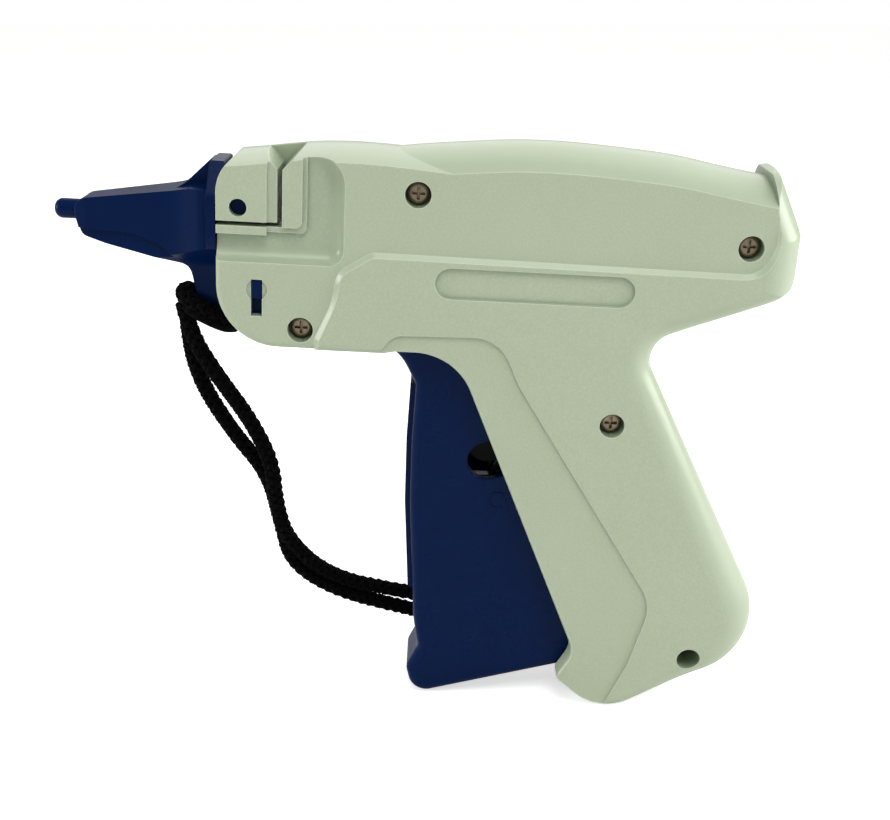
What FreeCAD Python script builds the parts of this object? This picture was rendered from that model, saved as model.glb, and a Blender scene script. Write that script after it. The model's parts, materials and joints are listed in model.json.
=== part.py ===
import FreeCAD, Part
import math
import os

# Garment tag attacher: a hand-held gun that pushes plastic fasteners through cloth.
# The gun is drawn with its barrel level: X runs from the nose face of the housing to the rear,
# Y runs from the left side (screw heads, feed slot) to the right side, and Z is up.
# At the end everything is turned nose-up into the stance in which the gun stands on a table,
# on the toe of its trigger and the corner of its butt.
# Tables with a name that ends in shares hold places as shares of the housing's length and height.

# Housing
HOUSING_LENGTH = 127.2
HOUSING_HEIGHT = 134.5
BODY_HALF_WIDTH = 14.0
PANEL_DEPTH = 1.0
WALL = 2.2
SIDE_WALL = 3.2
STANCE_TILT = 3.0
OVERRUN = 6.0
RIM_ROUNDING = 1.5
SHOULDER_ROUNDING = 0.9
REAR_ROOF_DROP = 4.8
FRONT_ROOF_DROP = 2.4
REAR_ROUNDING = 8.0
TAIL_ARCH_RADIUS = 12.2
TAIL_ARCH_OFFSET = 2.0
RIDGE_SLOPE = 1.0
CAVITY_TOP_GAP = 11.5
SIDE_CAVITY_INSET = 5.5
TRIGGER_GAP = 0.7
FRONT_WALL = 5.6
FRONT_BLOCK_LENGTH = 30.5

# Front end of the left half
SCOOP_DEPTH = 4.2
SCOOP_ROUNDING = 3.4
SCOOP_TOP_ROUNDING = 6.8
FLAP_DEPTH = 2.4
FLAP_STEP = 0.6
LEDGE_STEP = 0.9
LEDGE_WIDTH = 1.0
LEDGE_DROP = 1.2
PLATE_ROUNDING = 1.4
FEED_SLOT_WIDTH = 1.1
WIRE_SLOT_HEIGHT = 0.95
WIRE_SLOT_RISE = 0.9
BAR_HEIGHT = 1.8
FUNNEL_WIDTH = 7.2
FUNNEL_HEIGHT = 3.3
PEEP_HOLE_RADIUS = 1.9
LABEL_DEPTH = 0.8
LABEL_HALF_HEIGHT = 3.4
RIM_BAND_DEPTH = 0.5
LATCH_WINDOW_WIDTH = 2.4
LATCH_WINDOW_HEIGHT = 8.1
LATCH_DIMPLE_DEPTH = 0.4
DIMPLE_RADIUS = 2.3

# Strap
STRAP_RADIUS = 1.7
STRAP_SLOT_HALF = 2.6
STRAP_SLOT_LENGTH = 9.4
STRAP_KNOT_RADIUS = 3.5
BEND_SHARE = 0.45

# Screws
SCREW_RADIUS = 1.3
SCREW_TIP_SKIN = 1.6
SCREW_HEAD_RADIUS = 2.45
SCREW_HEAD_HEIGHT = 1.9
SCREW_SINK = 2.3
DEEP_SCREW_SINK = 7.5
COUNTERBORE_RADIUS = 2.8
BOSS_RADIUS = 4.3
FIT = 0.05
PRESS_GAP = 0.01
BORE_PLAY = 0.1
RECESS_WIDTH = 0.6
RECESS_DEPTH = 1.1
RECESS_SPAN = 2.8

# Trigger and its linkage
TRIGGER_MARGIN = 6.0
TRIGGER_WALL = 2.3
TRIGGER_ROUNDING = 2.0
TRIGGER_PULL = 22.0
PAD_HALF_WIDTH = 4.6
PAD_RISE = 1.2
PIVOT_PIN_RADIUS = 2.0
PIVOT_BOSS_RADIUS = 3.8
PIN_SKIN = 1.8
NOTCH_CLEARANCE = 0.9
HINGE_CLEARANCE = 0.06
HUB_CLEARANCE = 0.3
LEVER_HALF_WIDTH = 4.2
LEVER_PLATE_HALF = 2.0
LEVER_HUB_RADIUS = 5.2
LEVER_HEAD_RADIUS = 3.2
LEVER_LOWER_REACH = 22.0
LEVER_LEAN = 26.565
LEVER_LOBE_RADIUS = 5.5
LINK_PIN_RADIUS = 1.5
HEAD_PIN_RADIUS = 1.25
SLOT_PLAY = 0.7
WEB_HALF_WIDTH = 1.2
FORK_GAP_HALF = 1.55

# Slider, rod and needle
SLIDER_FRONT_REACH = 10.5
SLIDER_REAR_REACH = 9.0
SLIDER_HALF_WIDTH = 5.6
SLIDER_BELOW = 6.8
SLIDER_ABOVE = 4.6
SLIDER_FRONT_WALL = 3.5
SLIDER_REAR_WALL = 1.8
SLIDER_CHANNEL_HALF = 2.4
WING_MARGIN = 1.8
WING_INNER_HALF = 4.9
HEAD_PIN_HALF_LENGTH = 4.6
WING_THICKNESS = 2.6
RAIL_GAP = 0.15
RAIL_THICKNESS = 2.2
RAIL_INNER_HALF = 6.2
RAIL_LENGTH = 70.0
ROD_RADIUS = 0.95
ROD_LENGTH = 70.2
NEEDLE_RADIUS = 1.65
NEEDLE_BORE = 1.2
NEEDLE_TIP_GAP = 1.5
NEEDLE_SEAT = 8.6
NEEDLE_BEVEL = 6.5
BASE_HALF_WIDTH = 4.6
BASE_HALF_HEIGHT = 5.0
BASE_REACH = 1.5

# Feed block, wheel and pawl
BLOCK_LENGTH = 16.8
BLOCK_SIDE_GAP = 0.2
BLOCK_HEIGHT = 23.0
BLOCK_GAP = 0.4
CLIP_WALL = 0.9
CLIP_CHANNEL_LENGTH = 7.8
CLIP_CHANNEL_HALF = 1.3
SPENT_CHANNEL_LENGTH = 3.7
WHEEL_RADIUS = 3.2
WHEEL_ROOT_RADIUS = 2.2
WHEEL_LENGTH = 5.0
WHEEL_TEETH = 8
WHEEL_OFFSET = 3.9
WHEEL_SHAFT_RADIUS = 0.8
WHEEL_SHAFT_LENGTH = 10.5
WHEEL_RISE = 5.2
PAWL_LENGTH = 4.2
PAWL_THICKNESS = 1.2
PAWL_HEIGHT = 4.0
PAWL_HUB_RADIUS = 1.5
PAWL_PIN_RADIUS = 0.7
PAWL_DROP = 7.5
PAWL_SHIFT = 1.3
PAWL_PIN_LENGTH = 8.0
LEAF_THICKNESS = 0.25
LEAF_LENGTH = 1.6
BLADE_THICKNESS = 0.15
BLADE_LENGTH = 3.4
BLADE_HEIGHT = 6.5

# Latch
LATCH_TAB_HEIGHT = 4.0
LATCH_PLATE_WIDTH = 7.0
LATCH_PLATE_HEIGHT = 6.3
LATCH_PLATE_THICKNESS = 2.9
LATCH_APRON_THICKNESS = 0.8
LATCH_APRON_DROP = 2.5
LATCH_FINGER_WIDTH = 2.6
LATCH_FINGER_HEIGHT = 2.6
LATCH_TAB_PROUD = 0.3
LATCH_GAP = 0.2
LATCH_SKIN = 2.6
LATCH_BITE = 1.5
LATCH_SPRING_LENGTH = 5.7

# Springs
RETURN_SPRING_RADIUS = 1.8
RETURN_SPRING_WIRE = 0.4
RETURN_SPRING_TURNS = 10
SPRING_PIN_RADIUS = 1.2
SPRING_SIDE = 4.7
SPRING_PEG_END = 5.4
SPRING_BOSS_RADIUS = 2.8
SPRING_ARM = 20.0
SPRING_LEG = 6.0
EYE_GAP = 0.06
LATCH_SPRING_RADIUS = 0.8
LATCH_SPRING_WIRE = 0.18
LATCH_SPRING_TURNS = 6
LATCH_SPRING_GAP = 0.15

# Needle cap
CAP_NOSE_WALL = 4.7
CAP_STUB_RADIUS = 2.2
CAP_STUB_LENGTH = 5.0
CAP_FLANGE_MARGIN = 3.0
CAP_GAP = 0.3
CAP_FACET_STEP = 0.9
CAP_GUSSET_HALF = 2.6
CAP_HOLLOW_LENGTH = 10.0
CAP_HOLLOW_HALF_WIDTH = 5.2
CAP_HOLLOW_DROP = 7.6
CAP_HOLLOW_RISE = 5.6
CAP_BORE_RADIUS = 2.5
TONGUE_LENGTH = 7.4
TONGUE_THICKNESS = 1.2
TONGUE_HEIGHT = 4.6
TONGUE_RISE = 4.3

# Places on the side view, as shares of the housing's length and height
NEEDLE_LINE_SHARE = 0.8505
TRIGGER_PIVOT_SHARES = (0.3695, 0.7138)
LEVER_PIVOT_SHARES = (0.5755, 0.5204)
LEVER_LOBE_SHARES = (0.4835, 0.4907)
HEAD_PIN_HEIGHT_SHARE = 0.8327
SPRING_ANCHOR_SHARES = (0.818, 0.769)
SCREW_SHARES = [
    (0.337, 0.919),
    (0.899, 0.861),
    (0.695, 0.553),
    (0.884, 0.117),
    (0.145, 0.690),
]
DEEP_SCREW_INDEX = 3
LOW_SCREW_INDEXES = (2, 3)
SCOOP_CORNER_SHARES = (0.216, 0.798)
PLATE_END_SHARE = 0.1447
SCOOP_TOP_SHARE = 0.975
FUNNEL_TOP_SHARE = 0.945
CAP_STUB_SHARES = (-0.293, 0.850)
STUB_TIP_SHARE = 0.8
PAD_END_SHARES = (0.587, 0.368, 0.201)
WEB_SHARES = (0.360, 0.531, 0.262, 0.415)
PEEP_HOLE_SHARES = (0.037, 0.8825)
FEED_SLOT_SHARE = 0.1067
LATCH_WINDOW_SHARES = (0.070, 0.740)
LABEL_SHARES = (0.372, 0.711, 0.781)
STRAP_SLOT_SHARES = (0.790, 0.1004)

# Outlines: x share, z share, corner radius share; a fourth share is how far the rim is rounded there
LOWER_SKIN_SHARES = [
    (0.992, 0.881, 0.150, 0.107),
    (0.992, 0.788, 0.064, 0.286),
    (0.737, 0.686, 0.045, 0.429),
    (1.055, 0.128, 0.125, 0.571),
    (0.725, -0.003, 0.100, 0.229),
    (0.636, 0.066, 0.012, 0.107),
    (0.667, 0.118, 0.045, 0.107),
    (0.414, 0.661, 0.104, 0.107),
    (0.311, 0.661, 0.015, 0.107),
    (0.288, 0.657, 0.015, 0.107),
    (0.000, 0.657, 0.100, 0.107),
]
PANEL_TOP_SHARES = [
    (0.000, 0.957, 0.071),
    (0.100, 0.985, 0.000),
    (0.189, 1.056, 0.000),
    (0.942, 1.056, 0.000),
]
TAIL_TOP_SHARES = [
    (0.000, 0.967, 0.078, 0.107),
    (0.915, 0.962, 0.011, 0.107),
    (0.940, 0.980, 0.000, 0.107),
]
RIDGE_SHARES = [
    (0.165, 0.446, 0.000),
    (0.170, 0.677, 0.000),
    (0.200, 0.743, 0.134),
    (0.204, 0.788, 0.037),
    (0.263, 0.824, 0.022),
    (0.922, 0.819, 0.043),
    (0.944, 0.870, 0.067),
    (0.926, 1.011, 0.000),
    (0.926, 1.200, 0.000),
    (1.300, 1.200, 0.000),
    (1.300, -0.200, 0.000),
    (0.165, -0.200, 0.000),
]
FRONT_ROOF_SHARES = [
    (-0.031, 0.959),
    (0.063, 0.966),
    (0.165, 0.979),
    (0.244, 0.981),
    (0.299, 0.979),
    (0.396, 0.972),
    (0.600, 0.955),
    (0.975, 0.920),
]
REAR_ROOF_SHARES = [
    (-0.031, 0.905),
    (0.165, 0.952),
    (0.250, 0.970),
    (0.299, 0.979),
    (0.354, 0.986),
    (0.425, 0.993),
    (0.503, 0.999),
    (0.574, 1.000),
    (0.653, 0.997),
    (0.715, 0.993),
    (0.763, 0.989),
    (0.818, 0.981),
    (0.873, 0.972),
    (0.928, 0.964),
    (0.975, 0.956),
]
ROOF_SIDE_SHARES = (-1.0, -0.7, -0.35, 0.0, 0.35, 0.7, 1.0)
RIM_BAND_SHARES = [
    (0.230, 0.595, 0.000),
    (0.305, 0.690, 0.030),
    (0.487, 0.695, 0.067),
    (0.527, 0.614, 0.059),
    (0.802, 0.223, 0.082),
    (0.770, 0.100, 0.060),
    (0.690, -0.080, 0.000),
    (0.550, -0.080, 0.000),
]
TRIGGER_OPENING_SHARES = [
    (0.285, 0.595, 0.000),
    (0.285, 0.706, 0.000),
    (0.480, 0.706, 0.000),
    (0.708, 0.178, 0.000),
    (0.708, 0.026, 0.000),
    (0.560, 0.026, 0.000),
]
TRIGGER_SHARES = [
    (0.291, 0.661, 0.000),
    (0.322, 0.636, 0.090),
    (0.347, 0.591, 0.018),
    (0.344, 0.491, 0.446),
    (0.346, 0.372, 0.446),
    (0.363, 0.146, 0.223),
    (0.374, 0.089, 0.015),
    (0.353, 0.045, 0.024),
    (0.369, -0.010, 0.033),
    (0.664, 0.071, 0.018),
    (0.696, 0.115, 0.022),
    (0.546, 0.491, 0.074),
    (0.472, 0.665, 0.045),
    (0.432, 0.755, 0.045),
    (0.310, 0.755, 0.037),
]
CAP_SHARES = [
    (-0.257, 0.860, 0.020),
    (-0.238, 0.874, 0.018),
    (-0.082, 0.896, 0.134),
    (-0.047, 0.904, 0.000),
    (-0.002, 0.904, 0.000),
    (-0.002, 0.790, 0.000),
    (0.002, 0.712, 0.030),
    (0.002, 0.672, 0.006),
    (-0.033, 0.672, 0.009),
    (-0.058, 0.772, 0.022),
    (-0.201, 0.801, 0.149),
    (-0.243, 0.813, 0.015),
]
TRIGGER_HOLLOW_SHARES = [
    (0.370, 0.588, 0.020),
    (0.345, 0.636, 0.020),
    (0.334, 0.669, 0.000),
    (0.334, 0.820, 0.000),
    (0.790, 0.820, 0.000),
    (0.790, 0.133, 0.000),
    (0.398, 0.034, 0.015),
    (0.387, 0.146, 0.223),
    (0.368, 0.372, 0.446),
]
CAP_PLAN_SHARES = [
    (-0.259, 0.026, 0.015),
    (-0.232, 0.034, 0.020),
    (-0.080, 0.048, 0.120),
    (-0.030, 0.074, 0.030),
    (0.060, 0.074, 0.000),
]
GUSSET_SHARES = [
    (-0.088, 0.893, 0.000),
    (-0.068, 0.901, 0.080),
    (-0.018, 0.947, 0.004),
    (0.010, 0.947, 0.004),
    (-0.002, 0.915, 0.040),
    (-0.002, 0.893, 0.000),
]
CAP_FRONT_SHARES = [
    (0.255, 0.600, 0.000),
    (0.255, 0.773, 0.045),
    (1.000, 0.817, 0.030),
    (1.000, 0.895, 0.030),
    (0.410, 0.955, 0.010),
]
FACET_SHARES = [
    (-0.300, 0.825, 0.000),
    (-0.234, 0.825, 0.000),
    (-0.147, 0.822, 0.080),
    (-0.105, 0.807, 0.050),
    (-0.076, 0.784, 0.000),
    (-0.076, 0.740, 0.000),
    (-0.300, 0.740, 0.000),
]
FLANGE_SHARES = [
    (-0.018, 0.947, 0.004),
    (0.010, 0.947, 0.004),
    (-0.002, 0.915, 0.040),
    (-0.002, 0.776, 0.000),
    (-0.018, 0.776, 0.000),
]

# The strap, in the finished frame: x, y, z as shares of the housing's length
STRAP_FRONT_SHARES = [
    (-0.4298, 0.0149, 0.7707),
    (-0.4301, 0.0149, 0.7086),
    (-0.4168, 0.0189, 0.6173),
    (-0.3658, 0.0393, 0.5084),
    (-0.3046, 0.0574, 0.4146),
    (-0.2864, 0.0645, 0.3113),
    (-0.2710, 0.0755, 0.2145),
    (-0.1849, 0.0881, 0.1454),
    (-0.0534, 0.0928, 0.1008),
    (0.0943, 0.0991, 0.0647),
    (0.2270, 0.1281, 0.0435),
    (0.3216, 0.1368, 0.0457),
    (0.3979, 0.1376, 0.0740),
    (0.3979, 0.0676, 0.0740),
]
STRAP_REAR_SHARES = [
    (-0.4282, -0.0149, 0.7707),
    (-0.4196, -0.0149, 0.7135),
    (-0.3788, -0.0094, 0.6358),
    (-0.3246, 0.0063, 0.5432),
    (-0.2902, 0.0236, 0.4493),
    (-0.2894, 0.0346, 0.3587),
    (-0.2712, 0.0535, 0.2712),
    (-0.1933, 0.0833, 0.1849),
    (-0.0574, 0.0943, 0.1510),
    (0.0901, 0.0991, 0.1102),
    (0.2220, 0.1281, 0.0973),
    (0.3161, 0.1368, 0.0901),
    (0.3996, 0.1376, 0.1069),
    (0.3996, 0.0676, 0.1069),
]
STRAP_HITCH_SHARES = [
    (-0.4282, -0.0362, 0.7896),
    (-0.4282, 0.0362, 0.7896),
    (-0.3424, 0.0362, 0.7441),
    (-0.3424, -0.0362, 0.7441),
]
STRAP_KNOT_SHARES = (0.3988, 0.0550, 0.0904)

PANEL_HALF_WIDTH = BODY_HALF_WIDTH - PANEL_DEPTH
INNER_HALF_WIDTH = BODY_HALF_WIDTH - SIDE_WALL
TRIGGER_HALF_WIDTH = BODY_HALF_WIDTH - TRIGGER_MARGIN
PIN_REACH = BODY_HALF_WIDTH - PIN_SKIN
WING_HALF_WIDTH = INNER_HALF_WIDTH - WING_MARGIN
CAP_FLANGE_HALF_WIDTH = BODY_HALF_WIDTH - CAP_FLANGE_MARGIN
FRONT_CAVITY_HALF_WIDTH = PANEL_HALF_WIDTH - FRONT_WALL
BLOCK_HALF_WIDTH = FRONT_CAVITY_HALF_WIDTH - BLOCK_SIDE_GAP
LATCH_OUTER = PANEL_HALF_WIDTH - LATCH_SKIN
CAP_BORE_END = CAP_SHARES[0][0] * HOUSING_LENGTH + CAP_NOSE_WALL
NEEDLE_REACH = -CAP_BORE_END - NEEDLE_TIP_GAP
NEEDLE_Z = HOUSING_HEIGHT * NEEDLE_LINE_SHARE
CAVITY_TOP = HOUSING_HEIGHT - CAVITY_TOP_GAP
TRIGGER_OPENING_HALF = TRIGGER_HALF_WIDTH + TRIGGER_GAP
SCREW_LENGTH = 2 * BODY_HALF_WIDTH - DEEP_SCREW_SINK - SCREW_HEAD_HEIGHT - SCREW_TIP_SKIN


def vec(x, y, z):
    return FreeCAD.Vector(x, y, z)


def place(shares):
    """A point of the side view in millimetres."""
    return shares[0] * HOUSING_LENGTH, shares[1] * HOUSING_HEIGHT


def corners_of(share_table):
    """Outline corners in millimetres: x, z, corner radius."""
    return [place(row) + (row[2] * HOUSING_HEIGHT,) for row in share_table]


def rounded_wire(corners, make_point):
    """A closed wire of straight runs and tangent arcs; make_point turns two numbers into a point."""
    count = len(corners)
    starts = []
    arcs = []
    for i in range(count):
        corner = vec(corners[i][0], 0, corners[i][1])
        before = vec(corners[i - 1][0], 0, corners[i - 1][1]) - corner
        after = vec(corners[(i + 1) % count][0], 0, corners[(i + 1) % count][1]) - corner
        before.normalize()
        after.normalize()
        radius = corners[i][2]
        if radius == 0:
            starts.append((corner, corner))
            arcs.append(None)
            continue
        half_angle = before.getAngle(after) / 2
        tangent = radius / math.tan(half_angle)
        enter = corner + before * tangent
        leave = corner + after * tangent
        bisector = before + after
        bisector.normalize()
        middle = corner + bisector * (radius / math.sin(half_angle) - radius)
        starts.append((enter, leave))
        arcs.append(middle)
    edges = []
    for i in range(count):
        enter, leave = starts[i]
        if arcs[i] is not None:
            points = [make_point(p.x, p.z) for p in (enter, arcs[i], leave)]
            edges.append(Part.Arc(points[0], points[1], points[2]).toShape())
        next_enter = starts[(i + 1) % count][0]
        if leave.distanceToPoint(next_enter) > FIT / HOUSING_LENGTH:
            edges.append(Part.LineSegment(make_point(leave.x, leave.z),
                                          make_point(next_enter.x, next_enter.z)).toShape())
    return Part.Wire(edges)


def side_face(corners, y):
    """A face in the side view at the given y."""
    return Part.Face(rounded_wire(corners, lambda x, z: vec(x, y, z)))


def prism(corners, y_from, y_to):
    """A side-view outline made solid between two y planes."""
    return side_face(corners, y_from).extrude(vec(0, y_to - y_from, 0))


def box(x_from, x_to, y_from, y_to, z_from, z_to):
    return Part.makeBox(x_to - x_from, y_to - y_from, z_to - z_from, vec(x_from, y_from, z_from))


def cylinder(radius, start, end):
    axis = end - start
    return Part.makeCylinder(radius, axis.Length, start, axis)


def cross_pin(radius, x, z, y_from, y_to):
    """A cylinder across the gun, along Y."""
    return cylinder(radius, vec(x, y_from, z), vec(x, y_to, z))


def mirrored(shape):
    return shape.mirror(vec(0, 0, 0), vec(0, 1, 0))


def coil(start, length, radius, wire_radius, turns):
    """An open helical spring of round wire, standing upright on start."""
    helix = Part.makeHelix(length / turns, length, radius)
    profile = Part.Wire([Part.makeCircle(wire_radius, vec(radius, 0, 0), vec(0, 1, 0))])
    spring = Part.Wire(helix.Edges).makePipeShell([profile], True, True)
    spring.translate(start)
    return spring


def rounded_rim(solid, y_face, radius_at):
    """Round the rim of a prism in the plane y_face; radius_at gives the radius at a point of it."""
    document = FreeCAD.newDocument("rim")
    base = document.addObject("Part::Feature", "base")
    base.Shape = solid
    fillet = document.addObject("Part::Fillet", "fillet")
    fillet.Base = base
    rim = []
    for number, edge in enumerate(solid.Edges):
        ends = [edge.valueAt(edge.FirstParameter), edge.valueAt(edge.LastParameter)]
        if all(abs(end.y - y_face) < FIT for end in ends):
            radii = [radius_at(end.x, end.z) for end in ends]
            if radii[0] > 0:
                rim.append((number + 1, radii[0], radii[1]))
    fillet.Edges = rim
    document.recompute()
    result = fillet.Shape.copy()
    FreeCAD.closeDocument(document.Name)
    return result.Solids[0]


def sloped_rim(solid, y_face, slope):
    """Cut the rim in the plane y_face to a 45 degree slope."""
    edges = [e for e in solid.Edges if all(abs(v.Y - y_face) < FIT for v in e.Vertexes)]
    return solid.makeChamfer(slope, edges)


def lower_rim_radius(x, z):
    """How far the rim of the lower body is rounded: most down the back of the grip."""
    rows = TAIL_TOP_SHARES + LOWER_SKIN_SHARES
    nearest = min(rows, key=lambda row: math.hypot(place(row)[0] - x, place(row)[1] - z))
    return nearest[3] * BODY_HALF_WIDTH


def rim_band():
    """The band along the front of the grip that lies a little deeper than the side."""
    return prism(corners_of(RIM_BAND_SHARES), -BODY_HALF_WIDTH - OVERRUN, -BODY_HALF_WIDTH + RIM_BAND_DEPTH)


def rear_offcut(foot, top):
    """What goes when the side's rear edge is rounded along one straight stretch of the outline."""
    length = math.hypot(top[0] - foot[0], top[1] - foot[1])
    y_centre = -BODY_HALF_WIDTH + REAR_ROUNDING
    corner = box(-REAR_ROUNDING, OVERRUN, -BODY_HALF_WIDTH - OVERRUN, y_centre,
                 -REAR_ROUNDING, length + OVERRUN)
    round_edge = cylinder(REAR_ROUNDING, vec(-REAR_ROUNDING, y_centre, -REAR_ROUNDING - OVERRUN),
                          vec(-REAR_ROUNDING, y_centre, length + 2 * OVERRUN))
    offcut = corner.cut(round_edge)
    offcut.rotate(vec(0, 0, 0), vec(0, 1, 0), math.degrees(math.atan2(top[0] - foot[0], top[1] - foot[1])))
    offcut.translate(vec(foot[0], 0, foot[1]))
    return offcut


def lower_body():
    """The proud lower half of the side: grip, label band and tail."""
    skin = corners_of(TAIL_TOP_SHARES) + corners_of(LOWER_SKIN_SHARES)
    body = rounded_rim(prism(skin, -BODY_HALF_WIDTH, 0), -BODY_HALF_WIDTH, lower_rim_radius)
    region = sloped_rim(prism(corners_of(RIDGE_SHARES), -BODY_HALF_WIDTH, 0), -BODY_HALF_WIDTH, RIDGE_SLOPE)
    body = body.common(region)
    arch_x = place(RIDGE_SHARES[7])[0] - OVERRUN
    tail_top = place(TAIL_TOP_SHARES[2])[1]
    arch_z = tail_top - TAIL_ARCH_RADIUS
    far_x = HOUSING_LENGTH + OVERRUN
    corner = box(arch_x, far_x, -BODY_HALF_WIDTH - OVERRUN, -TAIL_ARCH_OFFSET, arch_z, tail_top + OVERRUN)
    round_top = cylinder(TAIL_ARCH_RADIUS, vec(arch_x, -TAIL_ARCH_OFFSET, arch_z),
                         vec(far_x, -TAIL_ARCH_OFFSET, arch_z))
    rear_top = place(TAIL_TOP_SHARES[2])
    rear_bend = place(LOWER_SKIN_SHARES[0])
    rear_foot = place(LOWER_SKIN_SHARES[1])
    offcuts = [rear_offcut(rear_bend, rear_top), rear_offcut(rear_foot, rear_bend)]
    return body.cut([corner.cut(round_top), rim_band()] + offcuts)


def crowned_solid(rows, roof_drop):
    """Everything under one long crown curve that is lower by an arc toward each side."""
    radius = (PANEL_HALF_WIDTH ** 2 + roof_drop ** 2) / (2 * roof_drop)
    floor = HOUSING_HEIGHT / 2
    crown_points = [place(share) for share in rows]
    sections = []
    for share in ROOF_SIDE_SHARES:
        y = share * BODY_HALF_WIDTH
        drop = radius - math.sqrt(radius ** 2 - y ** 2)
        crown = Part.BSplineCurve()
        crown.interpolate([vec(x, y, z - drop) for x, z in crown_points])
        corners = [crown.EndPoint, vec(crown.EndPoint.x, y, floor), vec(crown.StartPoint.x, y, floor)]
        corners.append(crown.StartPoint)
        lines = [Part.LineSegment(corners[i], corners[i + 1]).toShape() for i in range(len(corners) - 1)]
        sections.append(Part.Wire([crown.toShape()] + lines))
    return Part.makeLoft(sections, True, False)


def roof_solid():
    """The flat roof of the nose, with the higher crown of the barrel rising out of it."""
    front = crowned_solid(FRONT_ROOF_SHARES, FRONT_ROOF_DROP)
    return front.fuse(crowned_solid(REAR_ROOF_SHARES, REAR_ROOF_DROP))


def upper_body():
    """The panel that lies a step deeper: barrel, roof and nose."""
    skin = corners_of(PANEL_TOP_SHARES) + corners_of(LOWER_SKIN_SHARES)
    panel = prism(skin, -PANEL_HALF_WIDTH, 0)
    panel = rounded_rim(panel, -PANEL_HALF_WIDTH, lambda x, z: RIM_ROUNDING)
    panel = panel.cut(prism(corners_of(RIDGE_SHARES), -BODY_HALF_WIDTH, OVERRUN))
    return panel.common(roof_solid())


def skin_solid():
    """The outer form of the left half, from the side face to the middle."""
    return upper_body().fuse(lower_body()).removeSplitter()


def inset_prism(inset, y_from, y_to):
    """The inside of the housing: its side outline drawn in by the wall."""
    outline = side_face(corners_of(TAIL_TOP_SHARES) + corners_of(LOWER_SKIN_SHARES), y_from)
    inner = Part.Face(outline.OuterWire.makeOffset2D(-inset))
    return inner.extrude(vec(0, y_to - y_from, 0))


def cavity():
    """The hollow of the left half: narrow round its edge, and narrow beside the feed block."""
    deep = inset_prism(SIDE_CAVITY_INSET, -INNER_HALF_WIDTH, 0)
    shallow = inset_prism(WALL, -TRIGGER_OPENING_HALF, 0)
    room = deep.fuse(shallow)
    far = HOUSING_LENGTH + OVERRUN
    room = room.cut(box(-OVERRUN, far, -BODY_HALF_WIDTH, OVERRUN, CAVITY_TOP, HOUSING_HEIGHT + OVERRUN))
    front = box(-OVERRUN, FRONT_BLOCK_LENGTH, -BODY_HALF_WIDTH, -FRONT_CAVITY_HALF_WIDTH, 0, HOUSING_HEIGHT)
    return room.cut(front)


def boss_spots():
    """Screw places with the depth of each screw head's top below the middle of the gun."""
    spots = []
    for index, shares in enumerate(SCREW_SHARES):
        x, z = place(shares)
        face = PANEL_HALF_WIDTH
        sink = SCREW_SINK
        if index == DEEP_SCREW_INDEX:
            sink = DEEP_SCREW_SINK
        if index in LOW_SCREW_INDEXES:
            face = BODY_HALF_WIDTH
        spots.append((x, z, -face + sink))
    return spots


def rail_ribs():
    """The two ribs of the left half that the slider's wing runs between."""
    half = WING_THICKNESS / 2 + RAIL_GAP
    x_to = place(SPRING_ANCHOR_SHARES)[0] + SPRING_BOSS_RADIUS
    ribs = []
    for z_from in (NEEDLE_Z - half - RAIL_THICKNESS, NEEDLE_Z + half):
        ribs.append(box(x_to - RAIL_LENGTH, x_to, -INNER_HALF_WIDTH - FIT, -RAIL_INNER_HALF,
                        z_from, z_from + RAIL_THICKNESS))
    return ribs


def pivot_bosses(sign):
    """Bosses for the two pivots of one half."""
    trigger_x, trigger_z = place(TRIGGER_PIVOT_SHARES)
    lever_x, lever_z = place(LEVER_PIVOT_SHARES)
    wall = sign * (INNER_HALF_WIDTH + FIT)
    trigger_end = sign * (TRIGGER_HALF_WIDTH + HUB_CLEARANCE)
    lever_end = sign * (LEVER_HALF_WIDTH + HUB_CLEARANCE)
    return [cross_pin(PIVOT_BOSS_RADIUS, trigger_x, trigger_z, wall, trigger_end),
            cross_pin(PIVOT_BOSS_RADIUS, lever_x, lever_z, wall, lever_end)]


def pivot_bores():
    """Blind holes of both pivot pins, through the whole gun less a skin on each side."""
    reach = PIN_REACH + FIT
    bores = []
    for shares in (TRIGGER_PIVOT_SHARES, LEVER_PIVOT_SHARES):
        x, z = place(shares)
        bores.append(cross_pin(PIVOT_PIN_RADIUS + FIT, x, z, -reach, reach))
    return bores


def trigger_opening():
    half = TRIGGER_OPENING_HALF
    return prism(corners_of(TRIGGER_OPENING_SHARES), -half, half)


def nose_opening():
    """The hole in the nose that holds the needle base."""
    half = BASE_HALF_WIDTH + FIT
    height = BASE_HALF_HEIGHT + FIT
    return box(-OVERRUN, WALL + OVERRUN, -half, half, NEEDLE_Z - height, NEEDLE_Z + height)


def comb_exit():
    """The slot under the nose where the spent comb of the clip comes out."""
    half = CLIP_CHANNEL_HALF
    bottom = place(LOWER_SKIN_SHARES[10])[1]
    x_from = NEEDLE_SEAT + BLOCK_GAP + CLIP_WALL
    return box(x_from, x_from + SPENT_CHANNEL_LENGTH, -half, half, bottom - OVERRUN, bottom + OVERRUN)


def shell_half(skin):
    """What both halves share: wall, screw bosses, ribs, pivots and openings."""
    half = skin.cut(cavity())
    posts = rail_ribs() + pivot_bosses(-1)
    for x, z, head_top in boss_spots():
        posts.append(cross_pin(BOSS_RADIUS, x, z, -INNER_HALF_WIDTH - FIT, 0))
    half = half.fuse([post.common(skin) for post in posts])
    return half.cut([trigger_opening(), nose_opening(), comb_exit()] + pivot_bores())


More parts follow.
